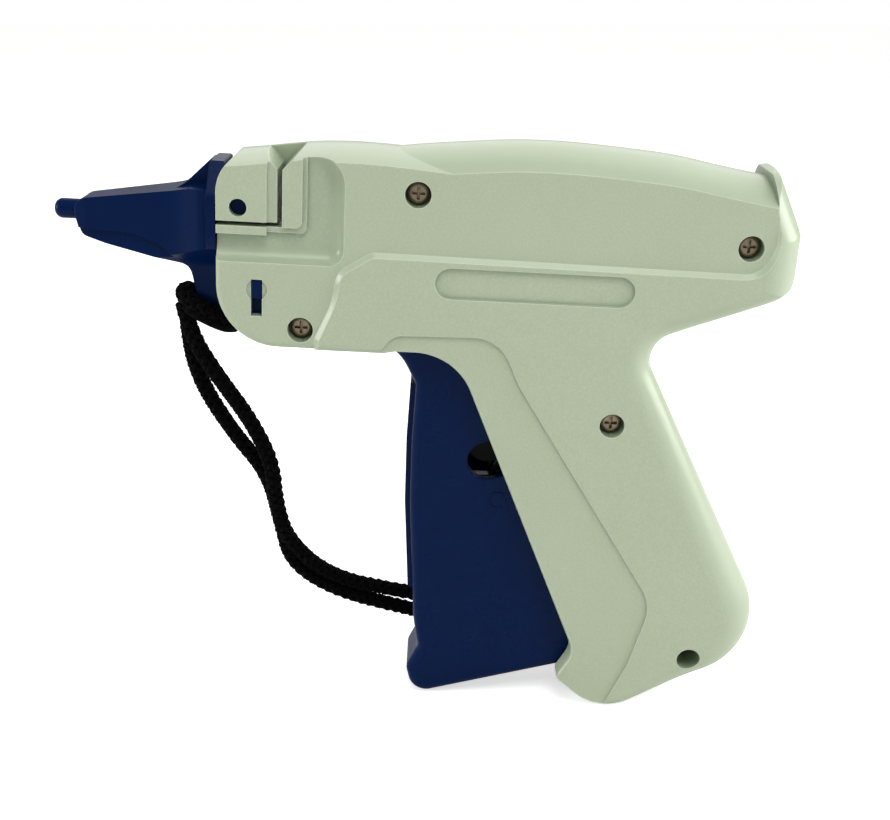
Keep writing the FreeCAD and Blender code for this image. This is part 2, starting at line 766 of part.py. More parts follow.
def scoop_cutter():
    """The hollow in the side of the nose that leads the clip of fasteners past."""
    x_to, z_from = place(SCOOP_CORNER_SHARES)
    z_top = SCOOP_TOP_SHARE * HOUSING_HEIGHT
    high = HOUSING_HEIGHT + OVERRUN
    x_shoulder = x_to - 2 * SCOOP_TOP_ROUNDING
    corners = [(-OVERRUN, z_from, 0), (x_to, z_from, SCOOP_ROUNDING), (x_to, z_top, SCOOP_TOP_ROUNDING),
               (x_shoulder, z_top, 0), (x_shoulder, high, 0), (-OVERRUN, high, 0)]
    floor = -BODY_HALF_WIDTH + SCOOP_DEPTH
    cutter = prism(corners, floor, -BODY_HALF_WIDTH - OVERRUN)
    rim = [e for e in cutter.Edges if all(abs(v.Y - floor) < FIT and v.Z < z_top + FIT for v in e.Vertexes)
           and e.CenterOfMass.x > 0]
    return cutter.makeFillet(SCOOP_ROUNDING - FIT, rim)


def slot_lines():
    """Where the feed slot runs: its two x edges and the two z edges of its forward leg."""
    x_from = FEED_SLOT_SHARE * HOUSING_LENGTH - FEED_SLOT_WIDTH / 2
    z_from = NEEDLE_Z + WIRE_SLOT_RISE - WIRE_SLOT_HEIGHT / 2
    return x_from, x_from + FEED_SLOT_WIDTH, z_from, z_from + WIRE_SLOT_HEIGHT


def nose_plates():
    """The plates that stand in the scoop on both sides of the feed slot, and the bar below it."""
    x_slot, x_slot_end, z_slot, z_slot_end = slot_lines()
    rear_x = PLATE_END_SHARE * HOUSING_LENGTH
    floor = -BODY_HALF_WIDTH + SCOOP_DEPTH + FIT
    front_y = -BODY_HALF_WIDTH + FLAP_DEPTH
    step_y = front_y + FLAP_STEP
    high = HOUSING_HEIGHT + OVERRUN
    bar_end = x_slot - FEED_SLOT_WIDTH * 2
    flap = box(-OVERRUN, bar_end, front_y, floor, z_slot_end, high)
    flap_edge = box(bar_end - FIT, x_slot, step_y, floor, z_slot_end, high)
    rear = prism([(x_slot_end, z_slot, 0), (rear_x, z_slot, PLATE_ROUNDING), (rear_x, high, 0),
                  (x_slot_end, high, 0)], front_y, floor)
    ledge_x = rear_x + LEDGE_WIDTH
    ledge_z = z_slot - LEDGE_DROP
    ledge_y = front_y + LEDGE_STEP
    ledge = prism([(bar_end - FIT, ledge_z, 0), (ledge_x, ledge_z, PLATE_ROUNDING), (ledge_x, high, 0),
                   (x_slot, high, 0), (x_slot, z_slot, 0), (bar_end - FIT, z_slot, 0)], ledge_y, floor)
    bar = box(-OVERRUN, bar_end, front_y, floor, z_slot - BAR_HEIGHT, z_slot)
    return [flap, flap_edge, rear, ledge, bar]


def feed_slot():
    """The L-shaped slot through which the fasteners' threads run down and forward."""
    x_slot, x_slot_end, z_slot, z_slot_end = slot_lines()
    far = -BODY_HALF_WIDTH - OVERRUN
    high = HOUSING_HEIGHT + OVERRUN
    down = box(x_slot, x_slot_end, far, CLIP_CHANNEL_HALF, z_slot, high)
    forward = box(-OVERRUN, x_slot_end, far, CLIP_CHANNEL_HALF, z_slot, z_slot_end)
    top = FUNNEL_TOP_SHARE * HOUSING_HEIGHT
    spread = (FUNNEL_WIDTH - FEED_SLOT_WIDTH) / 2 * (high - top) / FUNNEL_HEIGHT
    corners = [(x_slot, top, 0), (x_slot_end, top, 0), (x_slot_end + spread, high, 0),
               (x_slot - spread, high, 0)]
    return [down, forward, prism(corners, far, CLIP_CHANNEL_HALF)]


def flap_region():
    """The corner of the nose beyond the feed slot: it belongs to the right half."""
    x_slot, x_slot_end, z_slot, z_slot_end = slot_lines()
    return box(-OVERRUN, x_slot + FIT, -BODY_HALF_WIDTH - OVERRUN, 0,
               z_slot_end - FIT, HOUSING_HEIGHT + OVERRUN)


def tongue_box(gap):
    """The cap's tongue, or with a gap the pocket for it in the nose."""
    z = NEEDLE_Z + TONGUE_RISE
    y_from = -BODY_HALF_WIDTH + FLAP_DEPTH + WALL
    half = TONGUE_HEIGHT / 2 + gap
    return box(-TONGUE_THICKNESS, TONGUE_LENGTH + gap, y_from - gap, y_from + TONGUE_THICKNESS + gap,
               z - half, z + half)


def latch_plate_box():
    """The latch plate at rest: x and z limits, and its outer y."""
    x, z_top = latch_place()
    return x - LATCH_PLATE_WIDTH / 2, x + LATCH_PLATE_WIDTH / 2, z_top - LATCH_PLATE_HEIGHT, z_top


def latch_place():
    x, z = place(LATCH_WINDOW_SHARES)
    return x, z + LATCH_WINDOW_HEIGHT / 2 + LATCH_GAP


def latch_pocket():
    """The room for the latch and its spring in the left wall."""
    x_from, x_to, z_from, z_to = latch_plate_box()
    outer = -LATCH_OUTER - LATCH_GAP
    bottom = z_from - LATCH_SPRING_LENGTH
    return box(x_from - LATCH_FINGER_WIDTH / 2 - LATCH_GAP, x_to + LATCH_GAP, outer,
               -FRONT_CAVITY_HALF_WIDTH + FIT, bottom, z_to + LATCH_GAP)


def latch_window():
    x, z = place(LATCH_WINDOW_SHARES)
    wide = LATCH_WINDOW_WIDTH / 2
    high = LATCH_WINDOW_HEIGHT / 2
    hole = box(x - wide, x + wide, -BODY_HALF_WIDTH, -LATCH_OUTER, z - high, z + high)
    dimple_y = -PANEL_HALF_WIDTH + LATCH_DIMPLE_DEPTH
    dimple = cross_pin(DIMPLE_RADIUS, x, z + high - DIMPLE_RADIUS, -BODY_HALF_WIDTH, dimple_y)
    return [hole, dimple]


def label_recess():
    """The long shallow recess of the side, left bare."""
    x_from = LABEL_SHARES[0] * HOUSING_LENGTH + LABEL_HALF_HEIGHT
    x_to = LABEL_SHARES[1] * HOUSING_LENGTH - LABEL_HALF_HEIGHT
    z = LABEL_SHARES[2] * HOUSING_HEIGHT
    floor = -BODY_HALF_WIDTH + LABEL_DEPTH
    far = -BODY_HALF_WIDTH - OVERRUN
    middle = box(x_from, x_to, far, floor, z - LABEL_HALF_HEIGHT, z + LABEL_HALF_HEIGHT)
    ends = [cross_pin(LABEL_HALF_HEIGHT, x, z, far, floor) for x in (x_from, x_to)]
    return middle.fuse(ends)


def left_features(shell):
    """Cut the screw holes, recesses and openings of the left side."""
    cuts = [label_recess()]
    for x, z, head_top in boss_spots():
        seat = head_top + SCREW_HEAD_HEIGHT
        cuts.append(cross_pin(COUNTERBORE_RADIUS, x, z, -BODY_HALF_WIDTH - OVERRUN, seat))
        cuts.append(cross_pin(SCREW_RADIUS + BORE_PLAY, x, z, seat, OVERRUN))
    return shell.cut(cuts + latch_window() + [latch_pocket()])


def nose_with_scoop(shell):
    """The left shell with its scoop and plates."""
    skin = skin_solid()
    inner = skin.cut(cavity())
    plates = [plate.common(inner) for plate in nose_plates()]
    x, z = place(PEEP_HOLE_SHARES)
    hole = cross_pin(PEEP_HOLE_RADIUS, x, z, -BODY_HALF_WIDTH - OVERRUN, -FRONT_CAVITY_HALF_WIDTH + FIT)
    return shell.cut(scoop_cutter()).fuse(plates).cut([hole, tongue_box(LATCH_GAP)] + feed_slot())


def strap_slot():
    """The oval slot in the right side through which both strands of the strap go in."""
    x, z = place(STRAP_SLOT_SHARES)
    offset = STRAP_SLOT_LENGTH / 2 - STRAP_SLOT_HALF
    y_to = BODY_HALF_WIDTH + OVERRUN
    ends = [cross_pin(STRAP_SLOT_HALF, x, z + side * offset, 0, y_to) for side in (-1, 1)]
    middle = box(x - STRAP_SLOT_HALF, x + STRAP_SLOT_HALF, 0, y_to, z - offset, z + offset)
    return middle.fuse(ends)


def housing_halves():
    """Both halves of the housing."""
    skin = skin_solid()
    shell = shell_half(skin)
    left = nose_with_scoop(left_features(shell))
    flap = left.common(flap_region())
    left = left.cut(flap_region())
    x, z = place(SPRING_ANCHOR_SHARES)
    spring_boss = cross_pin(SPRING_BOSS_RADIUS, x, z, INNER_HALF_WIDTH + FIT, SPRING_PEG_END + EYE_GAP + FIT)
    right = mirrored(shell).fuse(spring_boss).cut(mirrored(label_recess()))
    cuts = [strap_slot(), cross_pin(SPRING_PIN_RADIUS + FIT, x, z, 0, PIN_REACH + FIT)]
    for x, z, head_top in boss_spots():
        end = head_top + SCREW_HEAD_HEIGHT + SCREW_LENGTH
        cuts.append(cross_pin(SCREW_RADIUS + FIT, x, z, -OVERRUN, end + FIT))
    right = right.cut(cuts + feed_slot()).fuse(flap)
    return left, right


def screw(x, z, head_top):
    """One cross-head screw with a pan head."""
    seat = head_top + SCREW_HEAD_HEIGHT
    head = cross_pin(SCREW_HEAD_RADIUS, x, z, head_top, seat)
    top_edge = [e for e in head.Edges if all(abs(v.Y - head_top) < FIT for v in e.Vertexes)]
    head = head.makeFillet(SCREW_HEAD_HEIGHT / 2, top_edge)
    shank = cross_pin(SCREW_RADIUS, x, z, seat - FIT, seat + SCREW_LENGTH)
    body = head.fuse(shank)
    half_span = RECESS_SPAN / 2
    half_width = RECESS_WIDTH / 2
    far = head_top - OVERRUN
    floor = head_top + RECESS_DEPTH
    cross = [box(x - half_span, x + half_span, far, floor, z - half_width, z + half_width),
             box(x - half_width, x + half_width, far, floor, z - half_span, z + half_span)]
    return body.cut(cross)


def trigger_solid():
    """The trigger: a channel open to the rear, with a front pad, a web and notches for the pivot boss."""
    corners = corners_of(TRIGGER_SHARES)
    body = prism(corners, -TRIGGER_HALF_WIDTH, TRIGGER_HALF_WIDTH)
    for y in (-TRIGGER_HALF_WIDTH, TRIGGER_HALF_WIDTH):
        body = rounded_rim(body, y, lambda x, z: TRIGGER_ROUNDING)
    hollow_half = TRIGGER_HALF_WIDTH - TRIGGER_WALL
    body = body.cut(prism(corners_of(TRIGGER_HOLLOW_SHARES), -hollow_half, hollow_half))
    pivot_x, pivot_z = place(TRIGGER_PIVOT_SHARES)
    tube = cross_pin(PIVOT_BOSS_RADIUS, pivot_x, pivot_z, -TRIGGER_HALF_WIDTH, TRIGGER_HALF_WIDTH)
    outline = side_face(corners, -PAD_HALF_WIDTH)
    raised = Part.Face(outline.OuterWire.makeOffset2D(PAD_RISE)).extrude(vec(0, 2 * PAD_HALF_WIDTH, 0))
    pad_x = PAD_END_SHARES[1] * HOUSING_LENGTH
    pad = raised.common(box(0, pad_x, -BODY_HALF_WIDTH, BODY_HALF_WIDTH, PAD_END_SHARES[2] * HOUSING_HEIGHT,
                            PAD_END_SHARES[0] * HOUSING_HEIGHT))
    web = trigger_web()
    body = body.fuse([tube, pad, web])
    bore = cross_pin(PIVOT_PIN_RADIUS + HINGE_CLEARANCE, pivot_x, pivot_z, -BODY_HALF_WIDTH, BODY_HALF_WIDTH)
    return body.cut([bore, lever_boss_notch(), link_slot()])


def trigger_web():
    """The thin middle web that carries the slot for the link pin."""
    x_from, x_to, z_from, z_to = WEB_SHARES
    return box(x_from * HOUSING_LENGTH, x_to * HOUSING_LENGTH, -WEB_HALF_WIDTH, WEB_HALF_WIDTH,
               z_from * HOUSING_HEIGHT, z_to * HOUSING_HEIGHT)


def turned_about_trigger(x, z, degrees):
    """Where a point of the housing lies for the trigger when it is pulled by so many degrees."""
    pivot_x, pivot_z = place(TRIGGER_PIVOT_SHARES)
    angle = math.radians(degrees)
    dx = x - pivot_x
    dz = z - pivot_z
    return (pivot_x + dx * math.cos(angle) + dz * math.sin(angle),
            pivot_z - dx * math.sin(angle) + dz * math.cos(angle))


def lever_boss_notch():
    """The arc-shaped notch in the trigger's cheeks that lets the lever's boss pass."""
    pivot_x, pivot_z = place(TRIGGER_PIVOT_SHARES)
    lever_x, lever_z = place(LEVER_PIVOT_SHARES)
    reach = math.hypot(lever_x - pivot_x, lever_z - pivot_z)
    half = PIVOT_BOSS_RADIUS + NOTCH_CLEARANCE
    wide = BODY_HALF_WIDTH
    ring = cross_pin(reach + half, pivot_x, pivot_z, -wide, wide)
    ring = ring.cut(cross_pin(reach - half, pivot_x, pivot_z, -wide, wide))
    end_x, end_z = turned_about_trigger(lever_x, lever_z, TRIGGER_PULL)
    far_x = pivot_x + 2 * (lever_x - pivot_x)
    far_z = pivot_z + 2 * (lever_z - pivot_z)
    low_x = pivot_x + 2 * (end_x - pivot_x)
    low_z = pivot_z + 2 * (end_z - pivot_z)
    wedge = prism([(pivot_x, pivot_z, 0), (low_x, low_z, 0), (far_x, far_z, 0)], -wide, wide)
    start = cross_pin(half, lever_x, lever_z, -wide, wide)
    end = cross_pin(half, end_x, end_z, -wide, wide)
    return ring.common(wedge).fuse([start, end])


def lever_point(reach, degrees):
    """A point at a distance from the lever's pivot, degrees to the rear of straight up."""
    x, z = place(LEVER_PIVOT_SHARES)
    angle = math.radians(degrees)
    return x + reach * math.sin(angle), z + reach * math.cos(angle)


def lever_reach():
    """The length of the lever's upper arm, from its pivot to the head pin."""
    rise = HEAD_PIN_HEIGHT_SHARE * HOUSING_HEIGHT - place(LEVER_PIVOT_SHARES)[1]
    return rise / math.cos(math.radians(LEVER_LEAN))


def link_slot():
    """The slot in the trigger's web that the link pin slides along."""
    top_x, top_z = lever_point(-LEVER_LOWER_REACH, LEVER_LEAN)
    low_x, low_z = lever_point(-LEVER_LOWER_REACH, -LEVER_LEAN)
    low_x, low_z = turned_about_trigger(low_x, low_z, TRIGGER_PULL)
    radius = LINK_PIN_RADIUS + SLOT_PLAY / 2
    wide = LEVER_HALF_WIDTH
    ends = [cross_pin(radius, top_x, z, -wide, wide) for z in (low_z - SLOT_PLAY, top_z + SLOT_PLAY)]
    middle = box(top_x - radius, top_x + radius, -wide, wide, low_z - SLOT_PLAY, top_z + SLOT_PLAY)
    return middle.fuse(ends)


def tapered_arm(start, start_radius, end, end_radius, y_from, y_to):
    """A flat arm with round ends of two sizes, in the side view."""
    start_vec = vec(start[0], 0, start[1])
    end_vec = vec(end[0], 0, end[1])
    along = end_vec - start_vec
    length = along.Length
    along.normalize()
    across = vec(along.z, 0, -along.x)
    lean = (start_radius - end_radius) / length
    side = math.sqrt(1 - lean ** 2)
    points = []
    for centre, radius, sign in ((start_vec, start_radius, 1), (end_vec, end_radius, 1),
                                 (end_vec, end_radius, -1), (start_vec, start_radius, -1)):
        point = centre + along * (radius * lean) + across * (sign * radius * side)
        points.append((point.x, point.z, 0))
    arm = prism(points, y_from, y_to)
    ends = [cross_pin(start_radius, start[0], start[1], y_from, y_to),
            cross_pin(end_radius, end[0], end[1], y_from, y_to)]
    return arm.fuse(ends)


def drive_lever():
    """The lever between trigger and slider: forked below its hub, a flat plate above it."""
    pivot = place(LEVER_PIVOT_SHARES)
    head = lever_point(lever_reach(), LEVER_LEAN)
    link = lever_point(-LEVER_LOWER_REACH, LEVER_LEAN)
    wide = LEVER_HALF_WIDTH
    upper = tapered_arm(pivot, LEVER_HUB_RADIUS, head, LEVER_HEAD_RADIUS, -LEVER_PLATE_HALF, LEVER_PLATE_HALF)
    lower = tapered_arm(pivot, LEVER_HUB_RADIUS, link, LEVER_HEAD_RADIUS, -wide, wide)
    lobe = tapered_arm(pivot, LEVER_HUB_RADIUS, place(LEVER_LOBE_SHARES), LEVER_LOBE_RADIUS, -wide, wide)
    gap = box(link[0] - LEVER_LOWER_REACH, pivot[0] + LEVER_LOWER_REACH, -FORK_GAP_HALF, FORK_GAP_HALF,
              link[1] - OVERRUN, pivot[1] + OVERRUN)
    hub = cross_pin(LEVER_HUB_RADIUS, pivot[0], pivot[1], -wide, wide)
    peg_x, peg_z = lever_point(SPRING_ARM, LEVER_LEAN)
    peg = cross_pin(SPRING_PIN_RADIUS, peg_x, peg_z, 0, SPRING_PEG_END)
    lever = lower.fuse(lobe).cut(gap).fuse([hub, upper, peg])
    bores = [cross_pin(PIVOT_PIN_RADIUS + HINGE_CLEARANCE, pivot[0], pivot[1],
                       -BODY_HALF_WIDTH, BODY_HALF_WIDTH),
             cross_pin(HEAD_PIN_RADIUS + PRESS_GAP, head[0], head[1], -wide, wide),
             cross_pin(LINK_PIN_RADIUS + PRESS_GAP, link[0], link[1], -BODY_HALF_WIDTH, BODY_HALF_WIDTH)]
    return lever.cut(bores)


def slider_solid():
    """The slider that carries the push rod along the rails."""
    x, z = lever_point(lever_reach(), LEVER_LEAN)
    x_from = x - SLIDER_FRONT_REACH
    x_to = x + SLIDER_REAR_REACH
    bottom = NEEDLE_Z - SLIDER_BELOW
    top = NEEDLE_Z + SLIDER_ABOVE
    body = box(x_from, x_to, -SLIDER_HALF_WIDTH, SLIDER_HALF_WIDTH, bottom, top)
    channel = box(x_from + SLIDER_FRONT_WALL, x_to - SLIDER_REAR_WALL, -SLIDER_CHANNEL_HALF, SLIDER_CHANNEL_HALF,
                  bottom - OVERRUN, top + OVERRUN)
    slot = box(x - HEAD_PIN_RADIUS - SLOT_PLAY, x + HEAD_PIN_RADIUS + SLOT_PLAY, -BODY_HALF_WIDTH, BODY_HALF_WIDTH,
               z - HEAD_PIN_RADIUS - SLOT_PLAY, top + OVERRUN)
    body = body.cut([channel, slot])
    half = WING_THICKNESS / 2
    wings = [box(x_from, x_to, y_from, y_to, NEEDLE_Z - half, NEEDLE_Z + half)
             for y_from, y_to in ((-WING_HALF_WIDTH, -WING_INNER_HALF), (WING_INNER_HALF, WING_HALF_WIDTH))]
    bore = cylinder(ROD_RADIUS + PRESS_GAP, vec(x_from - OVERRUN, 0, NEEDLE_Z),
                    vec(x_from + SLIDER_FRONT_WALL + FIT, 0, NEEDLE_Z))
    return body.fuse(wings).cut(bore)


def push_rod():
    x = lever_point(lever_reach(), LEVER_LEAN)[0] - SLIDER_FRONT_REACH + SLIDER_FRONT_WALL
    rod = cylinder(ROD_RADIUS, vec(x - ROD_LENGTH, 0, NEEDLE_Z), vec(x, 0, NEEDLE_Z))
    return rod.makeChamfer(ROD_RADIUS / 4, [e for e in rod.Edges if all(v.X < x - FIT for v in e.Vertexes)])


def needle():
    """The hollow needle, slit along its left side and cut to a slant at its tip."""
    tube = cylinder(NEEDLE_RADIUS, vec(-NEEDLE_REACH, 0, NEEDLE_Z), vec(NEEDLE_SEAT, 0, NEEDLE_Z))
    bore = cylinder(NEEDLE_BORE, vec(-NEEDLE_REACH - OVERRUN, 0, NEEDLE_Z),
                    vec(NEEDLE_SEAT + OVERRUN, 0, NEEDLE_Z))
    slit_half = FEED_SLOT_WIDTH / 2
    slit = box(-NEEDLE_REACH - OVERRUN, NEEDLE_SEAT + OVERRUN, -NEEDLE_RADIUS - OVERRUN, 0,
               NEEDLE_Z - slit_half, NEEDLE_Z + slit_half)
    high = NEEDLE_Z + NEEDLE_RADIUS + OVERRUN
    low = NEEDLE_Z - NEEDLE_RADIUS
    far = -NEEDLE_REACH - OVERRUN
    slope = 2 * NEEDLE_RADIUS / NEEDLE_BEVEL
    slant = prism([(far, low - OVERRUN * slope, 0), (-NEEDLE_REACH, low, 0),
                   (-NEEDLE_REACH + (high - low) / slope, high, 0), (far, high, 0)], -OVERRUN, OVERRUN)
    return tube.cut([bore, slit, slant])


def needle_base():
    """The plastic block that holds the needle in the nose."""
    half = BASE_HALF_WIDTH
    block = box(-BASE_REACH, NEEDLE_SEAT, -half, half, NEEDLE_Z - BASE_HALF_HEIGHT, NEEDLE_Z + BASE_HALF_HEIGHT)
    lead = [e for e in block.Edges if all(v.X < FIT for v in e.Vertexes)]
    block = block.makeChamfer(SHOULDER_ROUNDING, lead)
    bore = cylinder(NEEDLE_RADIUS + PRESS_GAP, vec(-OVERRUN, 0, NEEDLE_Z),
                    vec(NEEDLE_SEAT + OVERRUN, 0, NEEDLE_Z))
    slit_half = FEED_SLOT_WIDTH / 2
    slit = box(-OVERRUN, NEEDLE_SEAT + OVERRUN, -half - OVERRUN, 0, NEEDLE_Z - slit_half,
               NEEDLE_Z + WIRE_SLOT_RISE + slit_half)
    finger_x = latch_finger_x()
    notch = box(finger_x - LATCH_GAP, finger_x + LATCH_FINGER_WIDTH + LATCH_GAP, -half - OVERRUN, half + OVERRUN,
                NEEDLE_Z - BASE_HALF_HEIGHT - OVERRUN, NEEDLE_Z - BASE_HALF_HEIGHT + LATCH_BITE + LATCH_GAP)
    return block.cut([bore, slit, notch])


def latch_finger_x():
    return latch_plate_box()[0] - LATCH_FINGER_WIDTH / 4


def needle_latch():
    """The latch: plate, apron and thumb tab behind the window, and a finger that holds the needle base."""
    x_from, x_to, z_from, z_to = latch_plate_box()
    inner = -LATCH_OUTER + LATCH_PLATE_THICKNESS
    plate = box(x_from, x_to, -LATCH_OUTER, inner, z_from, z_to)
    apron = box(x_from, x_to, -LATCH_OUTER, -LATCH_OUTER + LATCH_APRON_THICKNESS,
                z_from - LATCH_APRON_DROP, z_from)
    x, z_top = latch_place()
    wide = LATCH_WINDOW_WIDTH / 2 - LATCH_GAP
    proud = -PANEL_HALF_WIDTH + LATCH_DIMPLE_DEPTH - LATCH_TAB_PROUD
    tab_top = z_top - 2 * LATCH_GAP
    tab = box(x - wide, x + wide, proud, -LATCH_OUTER + FIT, tab_top - LATCH_TAB_HEIGHT, tab_top)
    tab = tab.makeFillet(LATCH_GAP, [e for e in tab.Edges if all(abs(v.Y - proud) < FIT for v in e.Vertexes)])
    finger_x = latch_finger_x()
    arm = box(finger_x, finger_x + LATCH_FINGER_WIDTH, inner - FIT, -SLIDER_CHANNEL_HALF,
              z_to - LATCH_FINGER_HEIGHT, z_to)
    post = box(finger_x, finger_x + LATCH_FINGER_WIDTH, -SLIDER_CHANNEL_HALF - LATCH_FINGER_WIDTH,
               -SLIDER_CHANNEL_HALF, z_to - LATCH_FINGER_HEIGHT, NEEDLE_Z - BASE_HALF_HEIGHT + LATCH_BITE)
    return plate.fuse([apron, tab, arm, post]).removeSplitter()


def latch_spring():
    """The small upright coil that pushes the latch up."""
    x_from, x_to, z_from, z_to = latch_plate_box()
    y = -LATCH_OUTER + LATCH_APRON_THICKNESS + LATCH_SPRING_GAP + LATCH_SPRING_RADIUS + LATCH_SPRING_WIRE
    start = vec(latch_place()[0], y, z_from - LATCH_SPRING_LENGTH + LATCH_SPRING_WIRE)
    return coil(start, LATCH_SPRING_LENGTH - 2 * LATCH_SPRING_WIRE, LATCH_SPRING_RADIUS,
                LATCH_SPRING_WIRE, LATCH_SPRING_TURNS)


def wheel_centre():
    return WHEEL_OFFSET, NEEDLE_Z + WHEEL_RISE


def wheel_start():
    return NEEDLE_SEAT + BLOCK_GAP + CLIP_WALL + WHEEL_LENGTH / 4


def feed_block():
    """The block behind the needle: clip channel, rod bore, wheel and pawl pocket."""
    x_from = NEEDLE_SEAT + BLOCK_GAP
    x_to = x_from + BLOCK_LENGTH
    top = CAVITY_TOP - FIT
    half = BLOCK_HALF_WIDTH
    block = box(x_from, x_to, -half, half, top - BLOCK_HEIGHT, top)
    rod_line = cylinder(NEEDLE_BORE, vec(x_from - OVERRUN, 0, NEEDLE_Z), vec(x_to + OVERRUN, 0, NEEDLE_Z))
    channel_from = x_from + CLIP_WALL
    channel_half = CLIP_CHANNEL_HALF
    channel = box(channel_from, channel_from + CLIP_CHANNEL_LENGTH, -channel_half, channel_half,
                  NEEDLE_Z - NEEDLE_BORE, top + OVERRUN)
    spent = box(channel_from, channel_from + SPENT_CHANNEL_LENGTH, -channel_half, channel_half,
                top - BLOCK_HEIGHT - OVERRUN, top + OVERRUN)
    x_slot, x_slot_end, z_slot, z_slot_end = slot_lines()
    down = box(x_slot, x_slot_end, -half - OVERRUN, 0, z_slot, top + OVERRUN)
    forward = box(x_from - OVERRUN, x_slot_end, -half - OVERRUN, 0, z_slot, z_slot_end)
    wheel_y, wheel_z = wheel_centre()
    start = wheel_start() - CAP_GAP
    end = start + WHEEL_LENGTH + 2 * CAP_GAP
    pocket = cylinder(WHEEL_RADIUS + CAP_GAP, vec(start, wheel_y, wheel_z), vec(end, wheel_y, wheel_z))
    pawl_pocket = box(start, end, wheel_y - WHEEL_ROOT_RADIUS / 2, half + OVERRUN,
                      wheel_z - PAWL_DROP - PAWL_HUB_RADIUS - CAP_GAP, wheel_z)
    shaft_from = start - WHEEL_LENGTH / 4
    shaft = cylinder(WHEEL_SHAFT_RADIUS + PRESS_GAP, vec(shaft_from, wheel_y, wheel_z),
                     vec(shaft_from + WHEEL_SHAFT_LENGTH, wheel_y, wheel_z))
    pawl_y = pawl_line_y()
    pin = cylinder(PAWL_PIN_RADIUS + PRESS_GAP, vec(shaft_from, pawl_y, wheel_z - PAWL_DROP),
                   vec(shaft_from + PAWL_PIN_LENGTH, pawl_y, wheel_z - PAWL_DROP))
    return block.cut([rod_line, channel, spent, down, forward, pocket, pawl_pocket, shaft, pin])


def pawl_line_y():
    return WHEEL_OFFSET + PAWL_SHIFT


def feed_wheel():
    """The toothed wheel that steps the clip down."""
    y, z = wheel_centre()
    x = wheel_start()
    points = []
    for i in range(2 * WHEEL_TEETH):
        radius = WHEEL_ROOT_RADIUS if i % 2 else WHEEL_RADIUS
        angle = math.pi * i / WHEEL_TEETH
        points.append(vec(x, y + radius * math.cos(angle), z + radius * math.sin(angle)))
    points.append(points[0])
    star = Part.Face(Part.makePolygon(points)).extrude(vec(WHEEL_LENGTH, 0, 0))
    bore = cylinder(WHEEL_SHAFT_RADIUS + HINGE_CLEARANCE, vec(x - OVERRUN, y, z),
                    vec(x + WHEEL_LENGTH + OVERRUN, y, z))
    return star.cut(bore)


def feed_wheel_shaft():
    y, z = wheel_centre()
    x = wheel_start() - CAP_GAP - WHEEL_LENGTH / 4
    return cylinder(WHEEL_SHAFT_RADIUS, vec(x, y, z), vec(x + WHEEL_SHAFT_LENGTH, y, z))


def pawl_start():
    return wheel_start() + (WHEEL_LENGTH - PAWL_LENGTH) / 2


def feed_pawl():
    """The pawl that rocks on its pin below the wheel and turns it by one tooth."""
    y = pawl_line_y()
    z = wheel_centre()[1] - PAWL_DROP
    x = pawl_start()
    hub = cylinder(PAWL_HUB_RADIUS, vec(x, y, z), vec(x + PAWL_LENGTH, y, z))
    half = PAWL_THICKNESS / 2
    blade = box(x, x + PAWL_LENGTH, y - half, y + half, z, z + PAWL_HEIGHT)
    top = [e for e in blade.Edges if all(v.Z > z + FIT for v in e.Vertexes) and e.Length > PAWL_LENGTH - FIT]
    blade = blade.makeFillet(half / 2, top)
    bore = cylinder(PAWL_PIN_RADIUS + HINGE_CLEARANCE, vec(x - OVERRUN, y, z),
                    vec(x + PAWL_LENGTH + OVERRUN, y, z))
    return hub.fuse(blade).cut(bore)


def pawl_pin():
    y = pawl_line_y()
    z = wheel_centre()[1] - PAWL_DROP
    x = wheel_start() - CAP_GAP - WHEEL_LENGTH / 4
    return cylinder(PAWL_PIN_RADIUS, vec(x, y, z), vec(x + PAWL_PIN_LENGTH, y, z))


def pawl_spring():
    """The thin bent leaf that presses the pawl toward the wheel; it stands on the pocket's floor."""
    hub_y = pawl_line_y()
    hub_z = wheel_centre()[1] - PAWL_DROP
    foot_y = hub_y + PAWL_HUB_RADIUS + FIT
    top_y = hub_y + PAWL_THICKNESS / 2 + FIT
    floor = hub_z - PAWL_HUB_RADIUS - CAP_GAP
    knee = hub_z + PAWL_HUB_RADIUS
    bend = knee + (foot_y - top_y)
    top = bend + LEAF_LENGTH
    line = [(foot_y, floor), (foot_y, knee), (top_y, bend), (top_y, top)]
    outer = [(y + LEAF_THICKNESS, z) for y, z in reversed(line)]
    x = pawl_start()
    points = [vec(x, y, z) for y, z in line + outer]
    points.append(points[0])
    return Part.Face(Part.makePolygon(points)).extrude(vec(PAWL_LENGTH, 0, 0))


def cutter_blade():
    """The small blade on the left face of the feed block, just under the thread slot."""
    x_slot, x_slot_end, z_slot, z_slot_end = slot_lines()
    y = -BLOCK_HALF_WIDTH
    x_from = NEEDLE_SEAT + BLOCK_GAP + CLIP_WALL
    blade = box(x_from, x_from + BLADE_LENGTH, y - BLADE_THICKNESS, y, z_slot - BLADE_HEIGHT, z_slot)
    edge = [e for e in blade.Edges if all(v.Z > z_slot - FIT and v.Y < y - FIT for v in e.Vertexes)]
    return blade.makeChamfer(BLADE_THICKNESS / 2, edge)


